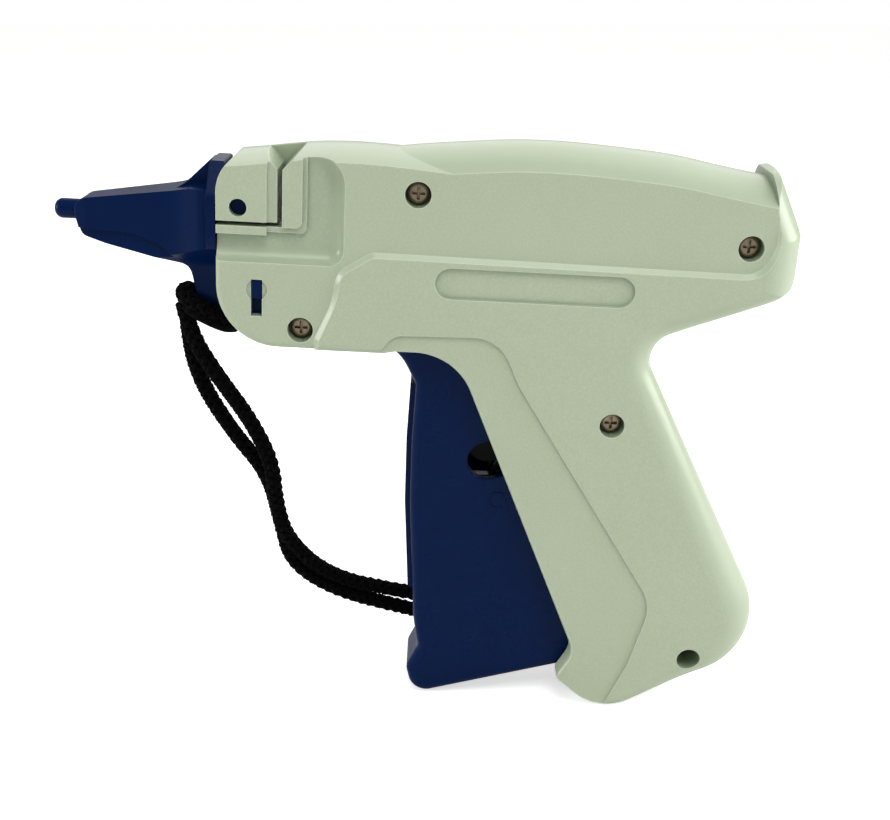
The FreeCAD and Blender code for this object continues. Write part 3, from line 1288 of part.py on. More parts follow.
def return_spring():
    """The extension spring between the lever's peg and the pin in the housing."""
    wire = RETURN_SPRING_WIRE
    peg_x, peg_z = lever_point(SPRING_ARM, LEVER_LEAN)
    anchor_x, anchor_z = place(SPRING_ANCHOR_SHARES)
    first = vec(peg_x, SPRING_SIDE, peg_z)
    axis = vec(anchor_x, SPRING_SIDE, anchor_z) - first
    span = axis.Length
    up = vec(0, 0, 1)
    spring = coil(up * SPRING_LEG, span - 2 * SPRING_LEG, RETURN_SPRING_RADIUS, wire, RETURN_SPRING_TURNS)
    eye = SPRING_PIN_RADIUS + wire + EYE_GAP
    for height, sign in ((0, 1), (span, -1)):
        bend = vec(RETURN_SPRING_RADIUS, 0, height + sign * SPRING_LEG)
        edge = vec(0, 0, height + sign * eye)
        ring = Part.makeTorus(eye, wire, vec(0, 0, height), vec(0, 1, 0))
        for piece in (Part.makeSphere(wire + PRESS_GAP, bend), cylinder(wire - PRESS_GAP, edge, bend), ring):
            spring = spring.fuse(piece)
    spring.Placement = FreeCAD.Placement(first, FreeCAD.Rotation(up, axis))
    return spring


def side_pin(radius, x, z, y_from, y_to):
    """A steel pin across the gun with a small chamfer at both ends."""
    pin = cross_pin(radius, x, z, y_from, y_to)
    return pin.makeChamfer(radius / 5, [e for e in pin.Edges if len(e.Vertexes) == 1])


def needle_cap():
    """The cap over the needle, with a stub in front, a tab for the strap below and a tongue behind."""
    reach = CAP_FLANGE_HALF_WIDTH
    side = prism(corners_of(CAP_SHARES), -reach, reach)
    rows = [(x * HOUSING_LENGTH, y * HOUSING_LENGTH, r * HOUSING_LENGTH) for x, y, r in CAP_PLAN_SHARES]
    mirror_rows = [(x, -y, r) for x, y, r in reversed(rows)]
    plan_face = Part.Face(rounded_wire(rows + mirror_rows, lambda x, y: vec(x, y, 0)))
    plan = plan_face.extrude(vec(0, 0, HOUSING_HEIGHT))
    body = side.common(plan)
    narrow = plan.makeOffsetShape(-CAP_FACET_STEP, FIT)
    body = body.cut(prism(corners_of(FACET_SHARES), -reach - OVERRUN, reach + OVERRUN).cut(narrow))
    gusset = prism(corners_of(GUSSET_SHARES), -CAP_GUSSET_HALF, CAP_GUSSET_HALF)
    flange = prism(corners_of(FLANGE_SHARES), -reach, reach)
    front_rows = [(y * reach, z * HOUSING_HEIGHT, r * HOUSING_HEIGHT) for y, z, r in CAP_FRONT_SHARES]
    front_rows += [(-y, z, r) for y, z, r in reversed(front_rows)]
    front = Part.Face(rounded_wire(front_rows, lambda y, z: vec(-HOUSING_LENGTH, y, z)))
    body = body.fuse([gusset, flange]).common(front.extrude(vec(2 * HOUSING_LENGTH, 0, 0)))
    stub_x, stub_z = place(CAP_STUB_SHARES)
    stub = cylinder(CAP_STUB_RADIUS, vec(stub_x, 0, stub_z), vec(stub_x + 2 * CAP_STUB_LENGTH, 0, stub_z))
    tip = [e for e in stub.Edges if all(v.X < stub_x + FIT for v in e.Vertexes)]
    stub = stub.makeFillet(CAP_STUB_RADIUS * STUB_TIP_SHARE, tip)
    body = body.fuse(stub).removeSplitter()
    half = CAP_HOLLOW_HALF_WIDTH
    hollow = box(-CAP_HOLLOW_LENGTH, OVERRUN, -half, half,
                 NEEDLE_Z - CAP_HOLLOW_DROP, NEEDLE_Z + CAP_HOLLOW_RISE)
    bore = cylinder(CAP_BORE_RADIUS, vec(CAP_BORE_END, 0, NEEDLE_Z), vec(0, 0, NEEDLE_Z))
    return body.cut([hollow, bore]).fuse(tongue_box(0))


def strap_points(rows):
    return [vec(x, y, z) * HOUSING_LENGTH for x, y, z in rows]


def rounded_tube(points, radius, closed=False):
    """A round cord along straight runs and tangent arcs."""
    count = len(points)
    inner = range(count) if closed else range(1, count - 1)
    enters = {}
    for i in inner:
        before = points[i - 1] - points[i]
        after = points[(i + 1) % count] - points[i]
        shorter = min(before.Length, after.Length)
        half_turn = (math.pi - before.getAngle(after)) / 2
        bend = BEND_SHARE * shorter / math.tan(half_turn)
        before.normalize()
        after.normalize()
        tangent = bend * math.tan(half_turn)
        bisector = before + after
        bisector.normalize()
        middle = points[i] + bisector * (bend / math.cos(half_turn) - bend)
        enters[i] = (points[i] + before * tangent, middle, points[i] + after * tangent)
    edges = []
    last = count if closed else count - 1
    for i in range(last):
        following = (i + 1) % count
        start = enters[i][2] if i in enters else points[i]
        end = enters[following][0] if following in enters else points[following]
        edges.append(Part.LineSegment(start, end).toShape())
        if following in enters:
            edges.append(Part.Arc(*enters[following]).toShape())
    wire = Part.Wire(edges)
    start = edges[0].valueAt(edges[0].FirstParameter)
    direction = edges[0].tangentAt(edges[0].FirstParameter)
    profile = Part.Wire([Part.makeCircle(radius, start, direction)])
    tube = wire.makePipeShell([profile], True, True)
    print("cord length", round(wire.Length, 1), "volume share",
          round(tube.Volume / (math.pi * radius ** 2 * wire.Length), 4))
    return tube


def in_stance(shapes):
    """Turn everything nose-up, then centre it over the table's origin."""
    for shape in shapes.values():
        shape.rotate(vec(0, 0, 0), vec(0, 1, 0), STANCE_TILT)
    whole = Part.makeCompound(list(shapes.values())).optimalBoundingBox(True, False)
    shift = vec(-(whole.XMin + whole.XMax) / 2, -(whole.YMin + whole.YMax) / 2, -whole.ZMin)
    print("overall", round(whole.XLength, 2), round(whole.YLength, 2), round(whole.ZLength, 2))
    print("shift", round(shift.x, 3), round(shift.y, 3), round(shift.z, 3))
    for shape in shapes.values():
        shape.translate(shift)
    return shift


def build():
    """Every node of the part in its own frame, by name."""
    left, right = housing_halves()
    lever_x, lever_z = place(LEVER_PIVOT_SHARES)
    trigger_x, trigger_z = place(TRIGGER_PIVOT_SHARES)
    head_x, head_z = lever_point(lever_reach(), LEVER_LEAN)
    link_x, link_z = lever_point(-LEVER_LOWER_REACH, LEVER_LEAN)
    anchor_x, anchor_z = place(SPRING_ANCHOR_SHARES)
    shapes = {
        "left_housing": left,
        "right_housing": right,
        "housing_screws": Part.makeCompound([screw(x, z, top) for x, z, top in boss_spots()]),
        "trigger": trigger_solid(),
        "trigger_pivot_pin": side_pin(PIVOT_PIN_RADIUS, trigger_x, trigger_z, -PIN_REACH, PIN_REACH),
        "drive_lever": drive_lever(),
        "lever_pivot_pin": side_pin(PIVOT_PIN_RADIUS, lever_x, lever_z, -PIN_REACH, PIN_REACH),
        "link_pin": side_pin(LINK_PIN_RADIUS, link_x, link_z, -LEVER_HALF_WIDTH, LEVER_HALF_WIDTH),
        "head_pin": side_pin(HEAD_PIN_RADIUS, head_x, head_z, -HEAD_PIN_HALF_LENGTH, HEAD_PIN_HALF_LENGTH),
        "slider": slider_solid(),
        "push_rod": push_rod(),
        "feed_block": feed_block(),
        "return_spring": return_spring(),
        "spring_pin": side_pin(SPRING_PIN_RADIUS, anchor_x, anchor_z, SPRING_SIDE - SPRING_PIN_RADIUS, PIN_REACH),
        "needle": needle(),
        "needle_base": needle_base(),
        "needle_latch": needle_latch(),
        "latch_spring": latch_spring(),
        "needle_cap": needle_cap(),
        "feed_wheel": feed_wheel(),
        "feed_wheel_shaft": feed_wheel_shaft(),
        "feed_pawl": feed_pawl(),
        "pawl_pin": pawl_pin(),
        "pawl_spring": pawl_spring(),
        "cutter_blade": cutter_blade(),
    }
    in_stance(shapes)
    shapes["strap_front_strand"] = rounded_tube(strap_points(STRAP_FRONT_SHARES), STRAP_RADIUS)
    shapes["strap_rear_strand"] = rounded_tube(strap_points(STRAP_REAR_SHARES), STRAP_RADIUS)
    shapes["strap_hitch"] = rounded_tube(strap_points(STRAP_HITCH_SHARES), STRAP_RADIUS, closed=True)
    shapes["strap_knot"] = Part.makeSphere(STRAP_KNOT_RADIUS, strap_points([STRAP_KNOT_SHARES])[0])
    return shapes


if __name__ == "__main__":
    os.makedirs("parts", exist_ok=True)
    for name, shape in build().items():
        if not shape.isValid() or len(shape.Solids) != (len(SCREW_SHARES) if name == "housing_screws" else 1):
            print("look at", name, shape.isValid(), len(shape.Solids))
        shape.exportStep("parts/" + name + ".step")
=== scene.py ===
"""Garment tag attacher: looks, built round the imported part."""

import json
import logging
import math
from dataclasses import dataclass, field
from enum import Enum

import bmesh
import bpy
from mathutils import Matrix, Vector


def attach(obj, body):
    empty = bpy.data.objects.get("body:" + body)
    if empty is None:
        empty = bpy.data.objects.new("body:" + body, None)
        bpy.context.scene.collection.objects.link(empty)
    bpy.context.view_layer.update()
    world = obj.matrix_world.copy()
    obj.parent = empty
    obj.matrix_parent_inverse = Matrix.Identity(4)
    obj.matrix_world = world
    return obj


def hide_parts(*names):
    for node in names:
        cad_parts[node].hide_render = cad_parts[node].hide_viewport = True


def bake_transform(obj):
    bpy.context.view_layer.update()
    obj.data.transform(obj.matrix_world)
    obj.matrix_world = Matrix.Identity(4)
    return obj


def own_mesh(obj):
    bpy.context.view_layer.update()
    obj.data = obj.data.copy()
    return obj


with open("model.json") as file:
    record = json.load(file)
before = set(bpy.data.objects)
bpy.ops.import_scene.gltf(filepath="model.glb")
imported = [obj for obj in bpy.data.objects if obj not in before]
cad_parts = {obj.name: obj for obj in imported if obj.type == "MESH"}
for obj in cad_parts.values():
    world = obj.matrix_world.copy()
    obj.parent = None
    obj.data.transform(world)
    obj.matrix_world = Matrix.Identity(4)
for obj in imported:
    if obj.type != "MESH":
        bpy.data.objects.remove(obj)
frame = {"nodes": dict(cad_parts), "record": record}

MM = 0.001
HOUSING_LENGTH = 0.1272
LOG = logging.getLogger("tag_attacher")


class Slot(Enum):
    """The record's material slots."""

    HOUSING = "housing_plastic"
    BLUE = "blue_plastic"
    STEEL = "steel"
    SCREW = "screw_steel"
    SPRING = "spring_steel"
    INNER = "inner_plastic"
    CORD = "cord"


def linear(hex_colour: str) -> tuple[float, float, float, float]:
    """Turn an sRGB hex colour into linear values.

    Args:
        hex_colour: six hex digits, such as "B7C0A6".

    Returns:
        Linear red, green, blue and an alpha of 1.
    """
    channels = []
    for start in (0, 2, 4):
        value = int(hex_colour[start:start + 2], 16) / 255
        channels.append(value / 12.92 if value <= 0.04045 else ((value + 0.055) / 1.055) ** 2.4)
    return channels[0], channels[1], channels[2], 1.0


def add_node(material: bpy.types.Material, kind: str, settings: dict, links: dict) -> bpy.types.Node:
    """Add a shader node with its settings and links.

    Args:
        material: the material whose tree gets the node.
        kind: the node's type name.
        settings: property or socket name to value.
        links: input socket name to the output socket that feeds it.

    Returns:
        The new node.
    """
    tree = material.node_tree
    node = tree.nodes.new(kind)
    for name, value in settings.items():
        if hasattr(node, name):
            setattr(node, name, value)
        else:
            node.inputs[name].default_value = value
    for name, source in links.items():
        tree.links.new(source, node.inputs[name])
    return node


def mixed(material: bpy.types.Material, first: bpy.types.NodeSocket | str, second: bpy.types.NodeSocket | str,
          factor: bpy.types.NodeSocket) -> bpy.types.NodeSocket:
    """Mix two colours, each a hex colour or a socket.

    Args:
        material: the material whose tree gets the node.
        first: the colour at factor 0.
        second: the colour at factor 1.
        factor: the socket that chooses between them.

    Returns:
        The mixed colour's socket.
    """
    node = add_node(material, "ShaderNodeMix", {"data_type": "RGBA"}, {"Factor": factor})
    colour_inputs = [socket for socket in node.inputs if socket.type == "RGBA"]
    for socket, colour in zip(colour_inputs, (first, second)):
        if isinstance(colour, str):
            socket.default_value = linear(colour)
        else:
            material.node_tree.links.new(colour, socket)
    return next(socket for socket in node.outputs if socket.type == "RGBA")


def new_material(name: str) -> tuple[bpy.types.Material, bpy.types.Node]:
    """Make an empty node material.

    Args:
        name: the material's name.

    Returns:
        The material and its Principled BSDF node.
    """
    material = bpy.data.materials.new(name)
    material.use_nodes = True
    return material, material.node_tree.nodes["Principled BSDF"]


def dress(piece: bpy.types.Object, material: bpy.types.Material) -> None:
    """Give a piece one material, in all its slots.

    Args:
        piece: the piece.
        material: its material.
    """
    if not piece.material_slots:
        piece.data.materials.append(material)
    for material_slot in piece.material_slots:
        material_slot.material = material


def only_selected(piece: bpy.types.Object) -> None:
    """Deselect everything, then select and activate one piece.

    Args:
        piece: the piece.
    """
    bpy.ops.object.select_all(action="DESELECT")
    piece.select_set(True)
    bpy.context.view_layer.objects.active = piece


@dataclass(frozen=True)
class GrainedShell:
    """Pale green moulded ABS: grained on the flat sides, smooth round the edges and on the roof."""

    name: str = "pale green moulded ABS"
    colour: str = "B1BDA3"
    shade: str = "AAB69A"
    fleck: str = "C6CFB9"
    edge_highlight: str = "DCE2CF"
    recess_shade: str = "7C8E73"
    crevice_shade: str = "3A3B30"
    cloud_mm: float = 26.0
    grain_mm: float = 0.42
    grain_depth_mm: float = 0.06
    edge_mm: float = 0.35
    crevice_shade_mm: float = 2.4
    recess_shade_mm: float = 9.0
    smooth_roughness: float = 0.3
    grained_roughness: float = 0.46
    refraction: float = 1.53

    def flat_side(self, material: bpy.types.Material, surface: bpy.types.Node) -> bpy.types.NodeSocket:
        """Tell the flat sides, 1, from the rounded and sloping places, 0.

        Args:
            material: the material whose tree gets the nodes.
            surface: the geometry node.

        Returns:
            The socket that says it.
        """
        facing = add_node(material, "ShaderNodeSeparateXYZ", {}, {"Vector": surface.outputs["True Normal"]})
        sideways = add_node(material, "ShaderNodeMath", {"operation": "ABSOLUTE"},
                            {"Value": facing.outputs["Y"]})
        flat = add_node(material, "ShaderNodeMapRange", {"From Min": 0.9, "From Max": 0.995},
                        {"Value": sideways.outputs["Value"]})
        return flat.outputs["Result"]

    def near_edge(self, material: bpy.types.Material, surface: bpy.types.Node,
                  rounded: bpy.types.Node) -> bpy.types.NodeSocket:
        """Tell the places next to an edge, where the rounded normal turns away from the face's own.

        Args:
            material: the material whose tree gets the nodes.
            surface: the geometry node.
            rounded: the bevel node.

        Returns:
            The socket that says it.
        """
        agreement = add_node(material, "ShaderNodeVectorMath", {"operation": "DOT_PRODUCT"}, {})
        material.node_tree.links.new(rounded.outputs["Normal"], agreement.inputs[0])
        material.node_tree.links.new(surface.outputs["True Normal"], agreement.inputs[1])
        edge = add_node(material, "ShaderNodeMapRange", {"From Min": 0.995, "From Max": 0.91, "To Max": 0.9},
                        {"Value": agreement.outputs["Value"]})
        return edge.outputs["Result"]

    def sheltered(self, material: bpy.types.Material, reach_mm: float, starts: float, full: float,
                  most: float) -> bpy.types.NodeSocket:
        """Tell the places that the piece itself shelters, where the colour gets its painted shade.

        Args:
            material: the material whose tree gets the nodes.
            reach_mm: how far away a sheltering surface may be.
            starts: the openness at which the effect starts.
            full: the openness at which it is full.
            most: how strong it then is.

        Returns:
            The socket that says it.
        """
        openness = add_node(material, "ShaderNodeAmbientOcclusion",
                            {"samples": 6, "only_local": True, "Distance": reach_mm * MM}, {})
        effect = add_node(material, "ShaderNodeMapRange",
                          {"From Min": starts, "From Max": full, "To Max": most},
                          {"Value": openness.outputs["AO"]})
        return effect.outputs["Result"]

    def build(self) -> bpy.types.Material:
        """Build the material: cloudy dye, grain on the sides, painted highlights along the edges and painted
        shade in the recesses and holes.

        Returns:
            The material.
        """
        material, shader = new_material(self.name)
        links = material.node_tree.links
        place = add_node(material, "ShaderNodeTexCoord", {}, {})
        cloud = add_node(material, "ShaderNodeTexNoise", {"Scale": 1 / (self.cloud_mm * MM), "Detail": 3.0},
                         {"Vector": place.outputs["Object"]})
        grain = add_node(material, "ShaderNodeTexNoise", {"Scale": 1 / (self.grain_mm * MM), "Detail": 1.5},
                         {"Vector": place.outputs["Object"]})
        surface = add_node(material, "ShaderNodeNewGeometry", {}, {})
        flat_side = self.flat_side(material, surface)
        rounded = add_node(material, "ShaderNodeBevel", {"samples": 6, "Radius": self.edge_mm * MM}, {})
        dye = mixed(material, self.colour, self.shade, cloud.outputs["Fac"])
        speckle = add_node(material, "ShaderNodeMapRange", {"From Min": 0.4, "From Max": 0.75, "To Max": 0.3},
                           {"Value": grain.outputs["Fac"]})
        speckled = add_node(material, "ShaderNodeMath", {"operation": "MULTIPLY"},
                            {"Value": speckle.outputs["Result"]})
        links.new(flat_side, speckled.inputs[1])
        dye = mixed(material, dye, self.fleck, speckled.outputs["Value"])
        # Painted highlight: a paler colour along the edges, where the rounded normal turns away from the
        # face's own.
        dye = mixed(material, dye, self.edge_highlight, self.near_edge(material, surface, rounded))
        # Painted shade: the colour darkens in the deep recesses, where the piece shelters the surface.
        dye = mixed(material, dye, self.recess_shade, self.sheltered(material, self.recess_shade_mm, 0.85, 0.4, 0.6))
        # Painted shade: the colour goes almost black deep in the holes and tight crevices.
        dye = mixed(material, dye, self.crevice_shade, self.sheltered(material, self.crevice_shade_mm, 0.42, 0.12, 0.85))
        depth = add_node(material, "ShaderNodeMath", {"operation": "MULTIPLY"},
                         {"Value": grain.outputs["Fac"]})
        links.new(flat_side, depth.inputs[1])
        bump = add_node(material, "ShaderNodeBump", {"Strength": 0.8, "Distance": self.grain_depth_mm * MM},
                        {"Height": depth.outputs["Value"], "Normal": rounded.outputs["Normal"]})
        gloss = add_node(material, "ShaderNodeMapRange",
                         {"To Min": self.smooth_roughness, "To Max": self.grained_roughness},
                         {"Value": flat_side})
        links.new(dye, shader.inputs["Base Color"])
        links.new(gloss.outputs["Result"], shader.inputs["Roughness"])
        links.new(bump.outputs["Normal"], shader.inputs["Normal"])
        shader.inputs["IOR"].default_value = self.refraction
        return material


@dataclass(frozen=True)
class PolishedPlastic:
    """Moulded plastic out of a polished mould: dyed through, with faint flow marks and rounded edges."""

    name: str
    colour: str
    shade: str
    roughness: float
    shine_level: float = 0.5
    smoother_by: float = 0.05
    rougher_by: float = 0.08
    edge_mm: float = 0.3
    flow_mm: float = 9.0
    flow_depth_mm: float = 0.05
    refraction: float = 1.52

    def build(self) -> bpy.types.Material:
        """Build the material: two close colours, uneven gloss and a shallow flow bump.

        Returns:
            The material.
        """
        material, shader = new_material(self.name)
        links = material.node_tree.links
        place = add_node(material, "ShaderNodeTexCoord", {}, {})
        flow = add_node(material, "ShaderNodeTexNoise", {"Scale": 1 / (self.flow_mm * MM), "Detail": 4.0},
                        {"Vector": place.outputs["Object"]})
        dye = mixed(material, self.colour, self.shade, flow.outputs["Fac"])
        gloss = add_node(material, "ShaderNodeMapRange",
                         {"To Min": self.roughness - self.smoother_by,
                          "To Max": self.roughness + self.rougher_by},
                         {"Value": flow.outputs["Fac"]})
        rounded = add_node(material, "ShaderNodeBevel", {"samples": 4, "Radius": self.edge_mm * MM}, {})
        bump = add_node(material, "ShaderNodeBump", {"Strength": 0.5, "Distance": self.flow_depth_mm * MM},
                        {"Height": flow.outputs["Fac"], "Normal": rounded.outputs["Normal"]})
        links.new(dye, shader.inputs["Base Color"])
        links.new(gloss.outputs["Result"], shader.inputs["Roughness"])
        links.new(bump.outputs["Normal"], shader.inputs["Normal"])
        shader.inputs["IOR"].default_value = self.refraction
        shader.inputs["Specular IOR Level"].default_value = self.shine_level
        return material


@dataclass(frozen=True)
class TurnedSteel:
    """Steel pin, screw or wire: metal with fine marks and scattered wear."""

    name: str
    colour: str
    worn: str
    roughness: float
    smoother_by: float = 0.1
    rougher_by: float = 0.15
    mark_mm: float = 0.7
    mark_depth_mm: float = 0.02
    edge_mm: float = 0.15

    def build(self) -> bpy.types.Material:
        """Build the material: metal colour with wear, uneven gloss and a fine bump.

        Returns:
            The material.
        """
        material, shader = new_material(self.name)
        links = material.node_tree.links
        place = add_node(material, "ShaderNodeTexCoord", {}, {})
        marks = add_node(material, "ShaderNodeTexNoise", {"Scale": 1 / (self.mark_mm * MM), "Detail": 4.0},
                         {"Vector": place.outputs["Object"]})
        gloss = add_node(material, "ShaderNodeMapRange",
                         {"To Min": self.roughness - self.smoother_by,
                          "To Max": self.roughness + self.rougher_by},
                         {"Value": marks.outputs["Fac"]})
        rounded = add_node(material, "ShaderNodeBevel", {"samples": 4, "Radius": self.edge_mm * MM}, {})
        bump = add_node(material, "ShaderNodeBump", {"Strength": 0.6, "Distance": self.mark_depth_mm * MM},
                        {"Height": marks.outputs["Fac"], "Normal": rounded.outputs["Normal"]})
        steel = mixed(material, self.colour, self.worn, marks.outputs["Fac"])
        links.new(steel, shader.inputs["Base Color"])
        links.new(gloss.outputs["Result"], shader.inputs["Roughness"])
        links.new(bump.outputs["Normal"], shader.inputs["Normal"])
        shader.inputs["Metallic"].default_value = 1.0
        return material


@dataclass(frozen=True)
class BraidedYarn:
    """Black spun polyester yarn: matt, with paler loose fibres that show as grey flecks."""

    name: str = "black braided polyester"
    colour: str = "020202"
    fleck: str = "1E1E21"
    fibre_mm: float = 0.35
    fibre_depth_mm: float = 0.12
    roughness: float = 0.8
    shine_level: float = 0.05

    def build(self) -> bpy.types.Material:
        """Build the material: flecks along the yarn and a fibre bump.

        Returns:
            The material.
        """
        material, shader = new_material(self.name)
        links = material.node_tree.links
        place = add_node(material, "ShaderNodeTexCoord", {}, {})
        fibre = add_node(material, "ShaderNodeTexNoise", {"Scale": 1 / (self.fibre_mm * MM), "Detail": 3.0},
                         {"Vector": place.outputs["Object"]})
        fleck = add_node(material, "ShaderNodeMapRange", {"From Min": 0.56, "From Max": 0.72, "To Max": 0.8},
                         {"Value": fibre.outputs["Fac"]})
        bump = add_node(material, "ShaderNodeBump", {"Strength": 1.0, "Distance": self.fibre_depth_mm * MM},
                        {"Height": fibre.outputs["Fac"]})
        yarn = mixed(material, self.colour, self.fleck, fleck.outputs["Result"])
        links.new(yarn, shader.inputs["Base Color"])
        links.new(bump.outputs["Normal"], shader.inputs["Normal"])
        shader.inputs["Roughness"].default_value = self.roughness
        shader.inputs["Specular IOR Level"].default_value = self.shine_level
        return material


@dataclass
class Strap:
    """The braided wrist strap: two strands from the cap's tab to the grip, with hitch and knot.

    The routes, the second wrap's offset and the knot's centre are shares of the housing's length.
    """

    strand_radius: float = 0.62 * MM
    ring_radius: float = 1.25 * MM
    weave: float = 0.2 * MM
    core_radius: float = 1.3 * MM
    lay_length: float = 9.0 * MM
    carriers: int = 4
    diameter: float = 4.0 * MM
    second_wrap: tuple[float, float, float] = (0.0, 0.0, -0.019)
    samples_per_point: int = 24
    knot_centre: tuple[float, float, float] = (0.3988, 0.0550, 0.0904)
    knot_scale: float = 0.74 * MM
    knot_tube: float = 1.15 * MM
    knot_depth_share: float = 1.4
    knot_steps: int = 90
    front_route: list = field(default_factory=lambda: [
        (-0.4298, 0.0149, 0.7707),
        (-0.4301, 0.0149, 0.7086),
        (-0.4168, 0.0189, 0.6173),
        (-0.3658, 0.0393, 0.5084),
        (-0.3046, 0.0574, 0.4146),
        (-0.2864, 0.0645, 0.3113),
        (-0.2710, 0.0755, 0.2145),
        (-0.1849, 0.0881, 0.1454),
        (-0.0534, 0.0928, 0.1050),
        (0.0943, 0.0991, 0.0647),
        (0.2270, 0.1281, 0.0435),
        (0.3216, 0.1368, 0.0457),
        (0.3979, 0.1376, 0.0740),
        (0.3979, 0.0676, 0.0740),
    ])
    rear_route: list = field(default_factory=lambda: [
        (-0.4282, -0.0149, 0.7707),
        (-0.4196, -0.0149, 0.7135),
        (-0.3788, -0.0094, 0.6358),
        (-0.3246, 0.0063, 0.5432),
        (-0.2902, 0.0236, 0.4493),
        (-0.2894, 0.0346, 0.3587),
        (-0.2712, 0.0535, 0.2712),
        (-0.1933, 0.0833, 0.1780),
        (-0.0574, 0.0943, 0.1410),
        (0.0901, 0.0991, 0.1102),
        (0.2220, 0.1281, 0.0973),
        (0.3161, 0.1368, 0.0901),
        (0.3996, 0.1376, 0.1069),
        (0.3996, 0.0676, 0.1069),
    ])
    hitch_route: list = field(default_factory=lambda: [
        (-0.4282, -0.0362, 0.7896),
        (-0.4282, 0.0362, 0.7896),
        (-0.3424, 0.0362, 0.7441),
        (-0.3424, -0.0362, 0.7441),
    ])

    def line(self, route: list, closed: bool) -> list[Vector]:
        """Read the smooth line of a route from its NURBS spline.

        Args:
            route: control points as shares of the housing's length.
            closed: whether the line ends where it starts.

        Returns:
            Points along the spline, in metres.
        """
        curve = bpy.data.curves.new("route", "CURVE")
        curve.dimensions = "3D"
        spline = curve.splines.new("NURBS")
        spline.points.add(len(route) - 1)
        for point, share in zip(spline.points, route):
            point.co = (*(Vector(share) * HOUSING_LENGTH), 1.0)
        spline.order_u = 3
        spline.use_endpoint_u = not closed
        spline.use_cyclic_u = closed
        spline.resolution_u = self.samples_per_point
        holder = bpy.data.objects.new("route", curve)
        bpy.context.collection.objects.link(holder)
        mesh = bpy.data.meshes.new_from_object(holder)
        points = [vertex.co.copy() for vertex in mesh.vertices]
        bpy.data.objects.remove(holder)
        bpy.data.curves.remove(curve)
        bpy.data.meshes.remove(mesh)
        return points

    def frames(self, points: list[Vector], closed: bool) -> list[tuple[float, Vector, Vector, Vector]]:
        """Carry a pair of side directions along a line without twist.

        Args:
            points: the line.
            closed: whether the line ends where it starts.

        Returns:
            Distance along the line, point, and two side directions for each point.
        """
        count = len(points)
        side = Vector((0.0, 1.0, 0.0))
        travelled = 0.0
        rows = []
        for index, point in enumerate(points):
            before = points[index - 1] if closed or index else point
            after = points[(index + 1) % count] if closed or index < count - 1 else point
            along = (after - before).normalized()
            side = (side - along * side.dot(along)).normalized()
            rows.append((travelled, point, side, along.cross(side)))
            travelled += (points[(index + 1) % count] - point).length
        return rows

    def braid(self, name: str, points: list[Vector], closed: bool) -> bpy.types.Object:
        """Plait strands over and under each other round a core that follows a line.

        Args:
            name: the piece's name.
            points: the line that the cord follows.
            closed: whether the line ends where it starts.

        Returns:
            The braided cord as a mesh.
        """
        curve = bpy.data.curves.new(name, "CURVE")
        curve.dimensions = "3D"
        curve.bevel_depth = self.strand_radius
        curve.bevel_resolution = 1
        curve.use_fill_caps = True
        rows = self.frames(points, closed)
        lay = self.lay_length
        if closed:
            total = rows[-1][0] + (points[0] - points[-1]).length
            lay = total / max(1, round(total / self.lay_length))
        for direction in (1, -1):
            for carrier in range(self.carriers):
                strand = []
                for travelled, point, side, up in rows:
                    turn = direction * math.tau * travelled / lay + math.tau * carrier / self.carriers
                    reach = self.ring_radius + direction * self.weave * math.cos(self.carriers * turn)
                    strand.append(point + side * (reach * math.cos(turn)) + up * (reach * math.sin(turn)))
                self.add_spline(curve, strand, 1.0, closed)
        self.add_spline(curve, points, self.core_radius / self.strand_radius, closed)
        return self.as_mesh(name, curve)

    def add_spline(self, curve: bpy.types.Curve, points: list[Vector], thickness: float,
                   closed: bool) -> None:
        """Add one strand to a curve.

        Args:
            curve: the curve that gets the strand.
            points: the strand's line.
            thickness: how many times as thick as the curve's bevel it is.
            closed: whether the line ends where it starts.
        """
        spline = curve.splines.new("POLY")
        spline.points.add(len(points) - 1)
        for target, point in zip(spline.points, points):
            target.co = (*point, 1.0)
            target.radius = thickness
        spline.use_cyclic_u = closed

    def as_mesh(self, name: str, curve: bpy.types.Curve) -> bpy.types.Object:
        """Turn a bevelled curve into a smooth mesh piece.

        Args:
            name: the piece's name.
            curve: the curve.

        Returns:
            The piece.
        """
        holder = bpy.data.objects.new(name, curve)
        bpy.context.collection.objects.link(holder)
        only_selected(holder)
        bpy.ops.object.convert(target="MESH")
        piece = bpy.context.object
        bpy.ops.object.shade_smooth()
        piece.name = name
        return piece

    def knot(self) -> bpy.types.Object:
        """Tie the trefoil knot that holds both strands inside the grip.

        Returns:
            The knot.
        """
        curve = bpy.data.curves.new("grip_knot", "CURVE")
        curve.dimensions = "3D"
        curve.bevel_depth = self.knot_tube
        curve.bevel_resolution = 3
        centre = Vector(self.knot_centre) * HOUSING_LENGTH
        depth = self.knot_scale * self.knot_depth_share
        points = []
        for step in range(self.knot_steps):
            turn = math.tau * step / self.knot_steps
            reach = self.knot_scale * (2 + math.cos(3 * turn))
            ahead = reach * math.cos(2 * turn)
            across = depth * math.sin(3 * turn)
            above = reach * math.sin(2 * turn)
            points.append(centre + Vector((ahead, across, above)))
        self.add_spline(curve, points, 1.0, True)
        return self.as_mesh("grip_knot", curve)

    def hitch(self) -> bpy.types.Object:
        """Wrap the cord twice round the cap's tab.

        Returns:
            Both wraps as one piece.
        """
        lower_route = [tuple(Vector(share) + Vector(self.second_wrap)) for share in self.hitch_route]
        lower = self.braid("lower_wrap", self.line(lower_route, True), True)
        upper = self.braid("tab_hitch", self.line(self.hitch_route, True), True)
        only_selected(upper)
        lower.select_set(True)
        bpy.ops.object.join()
        return upper

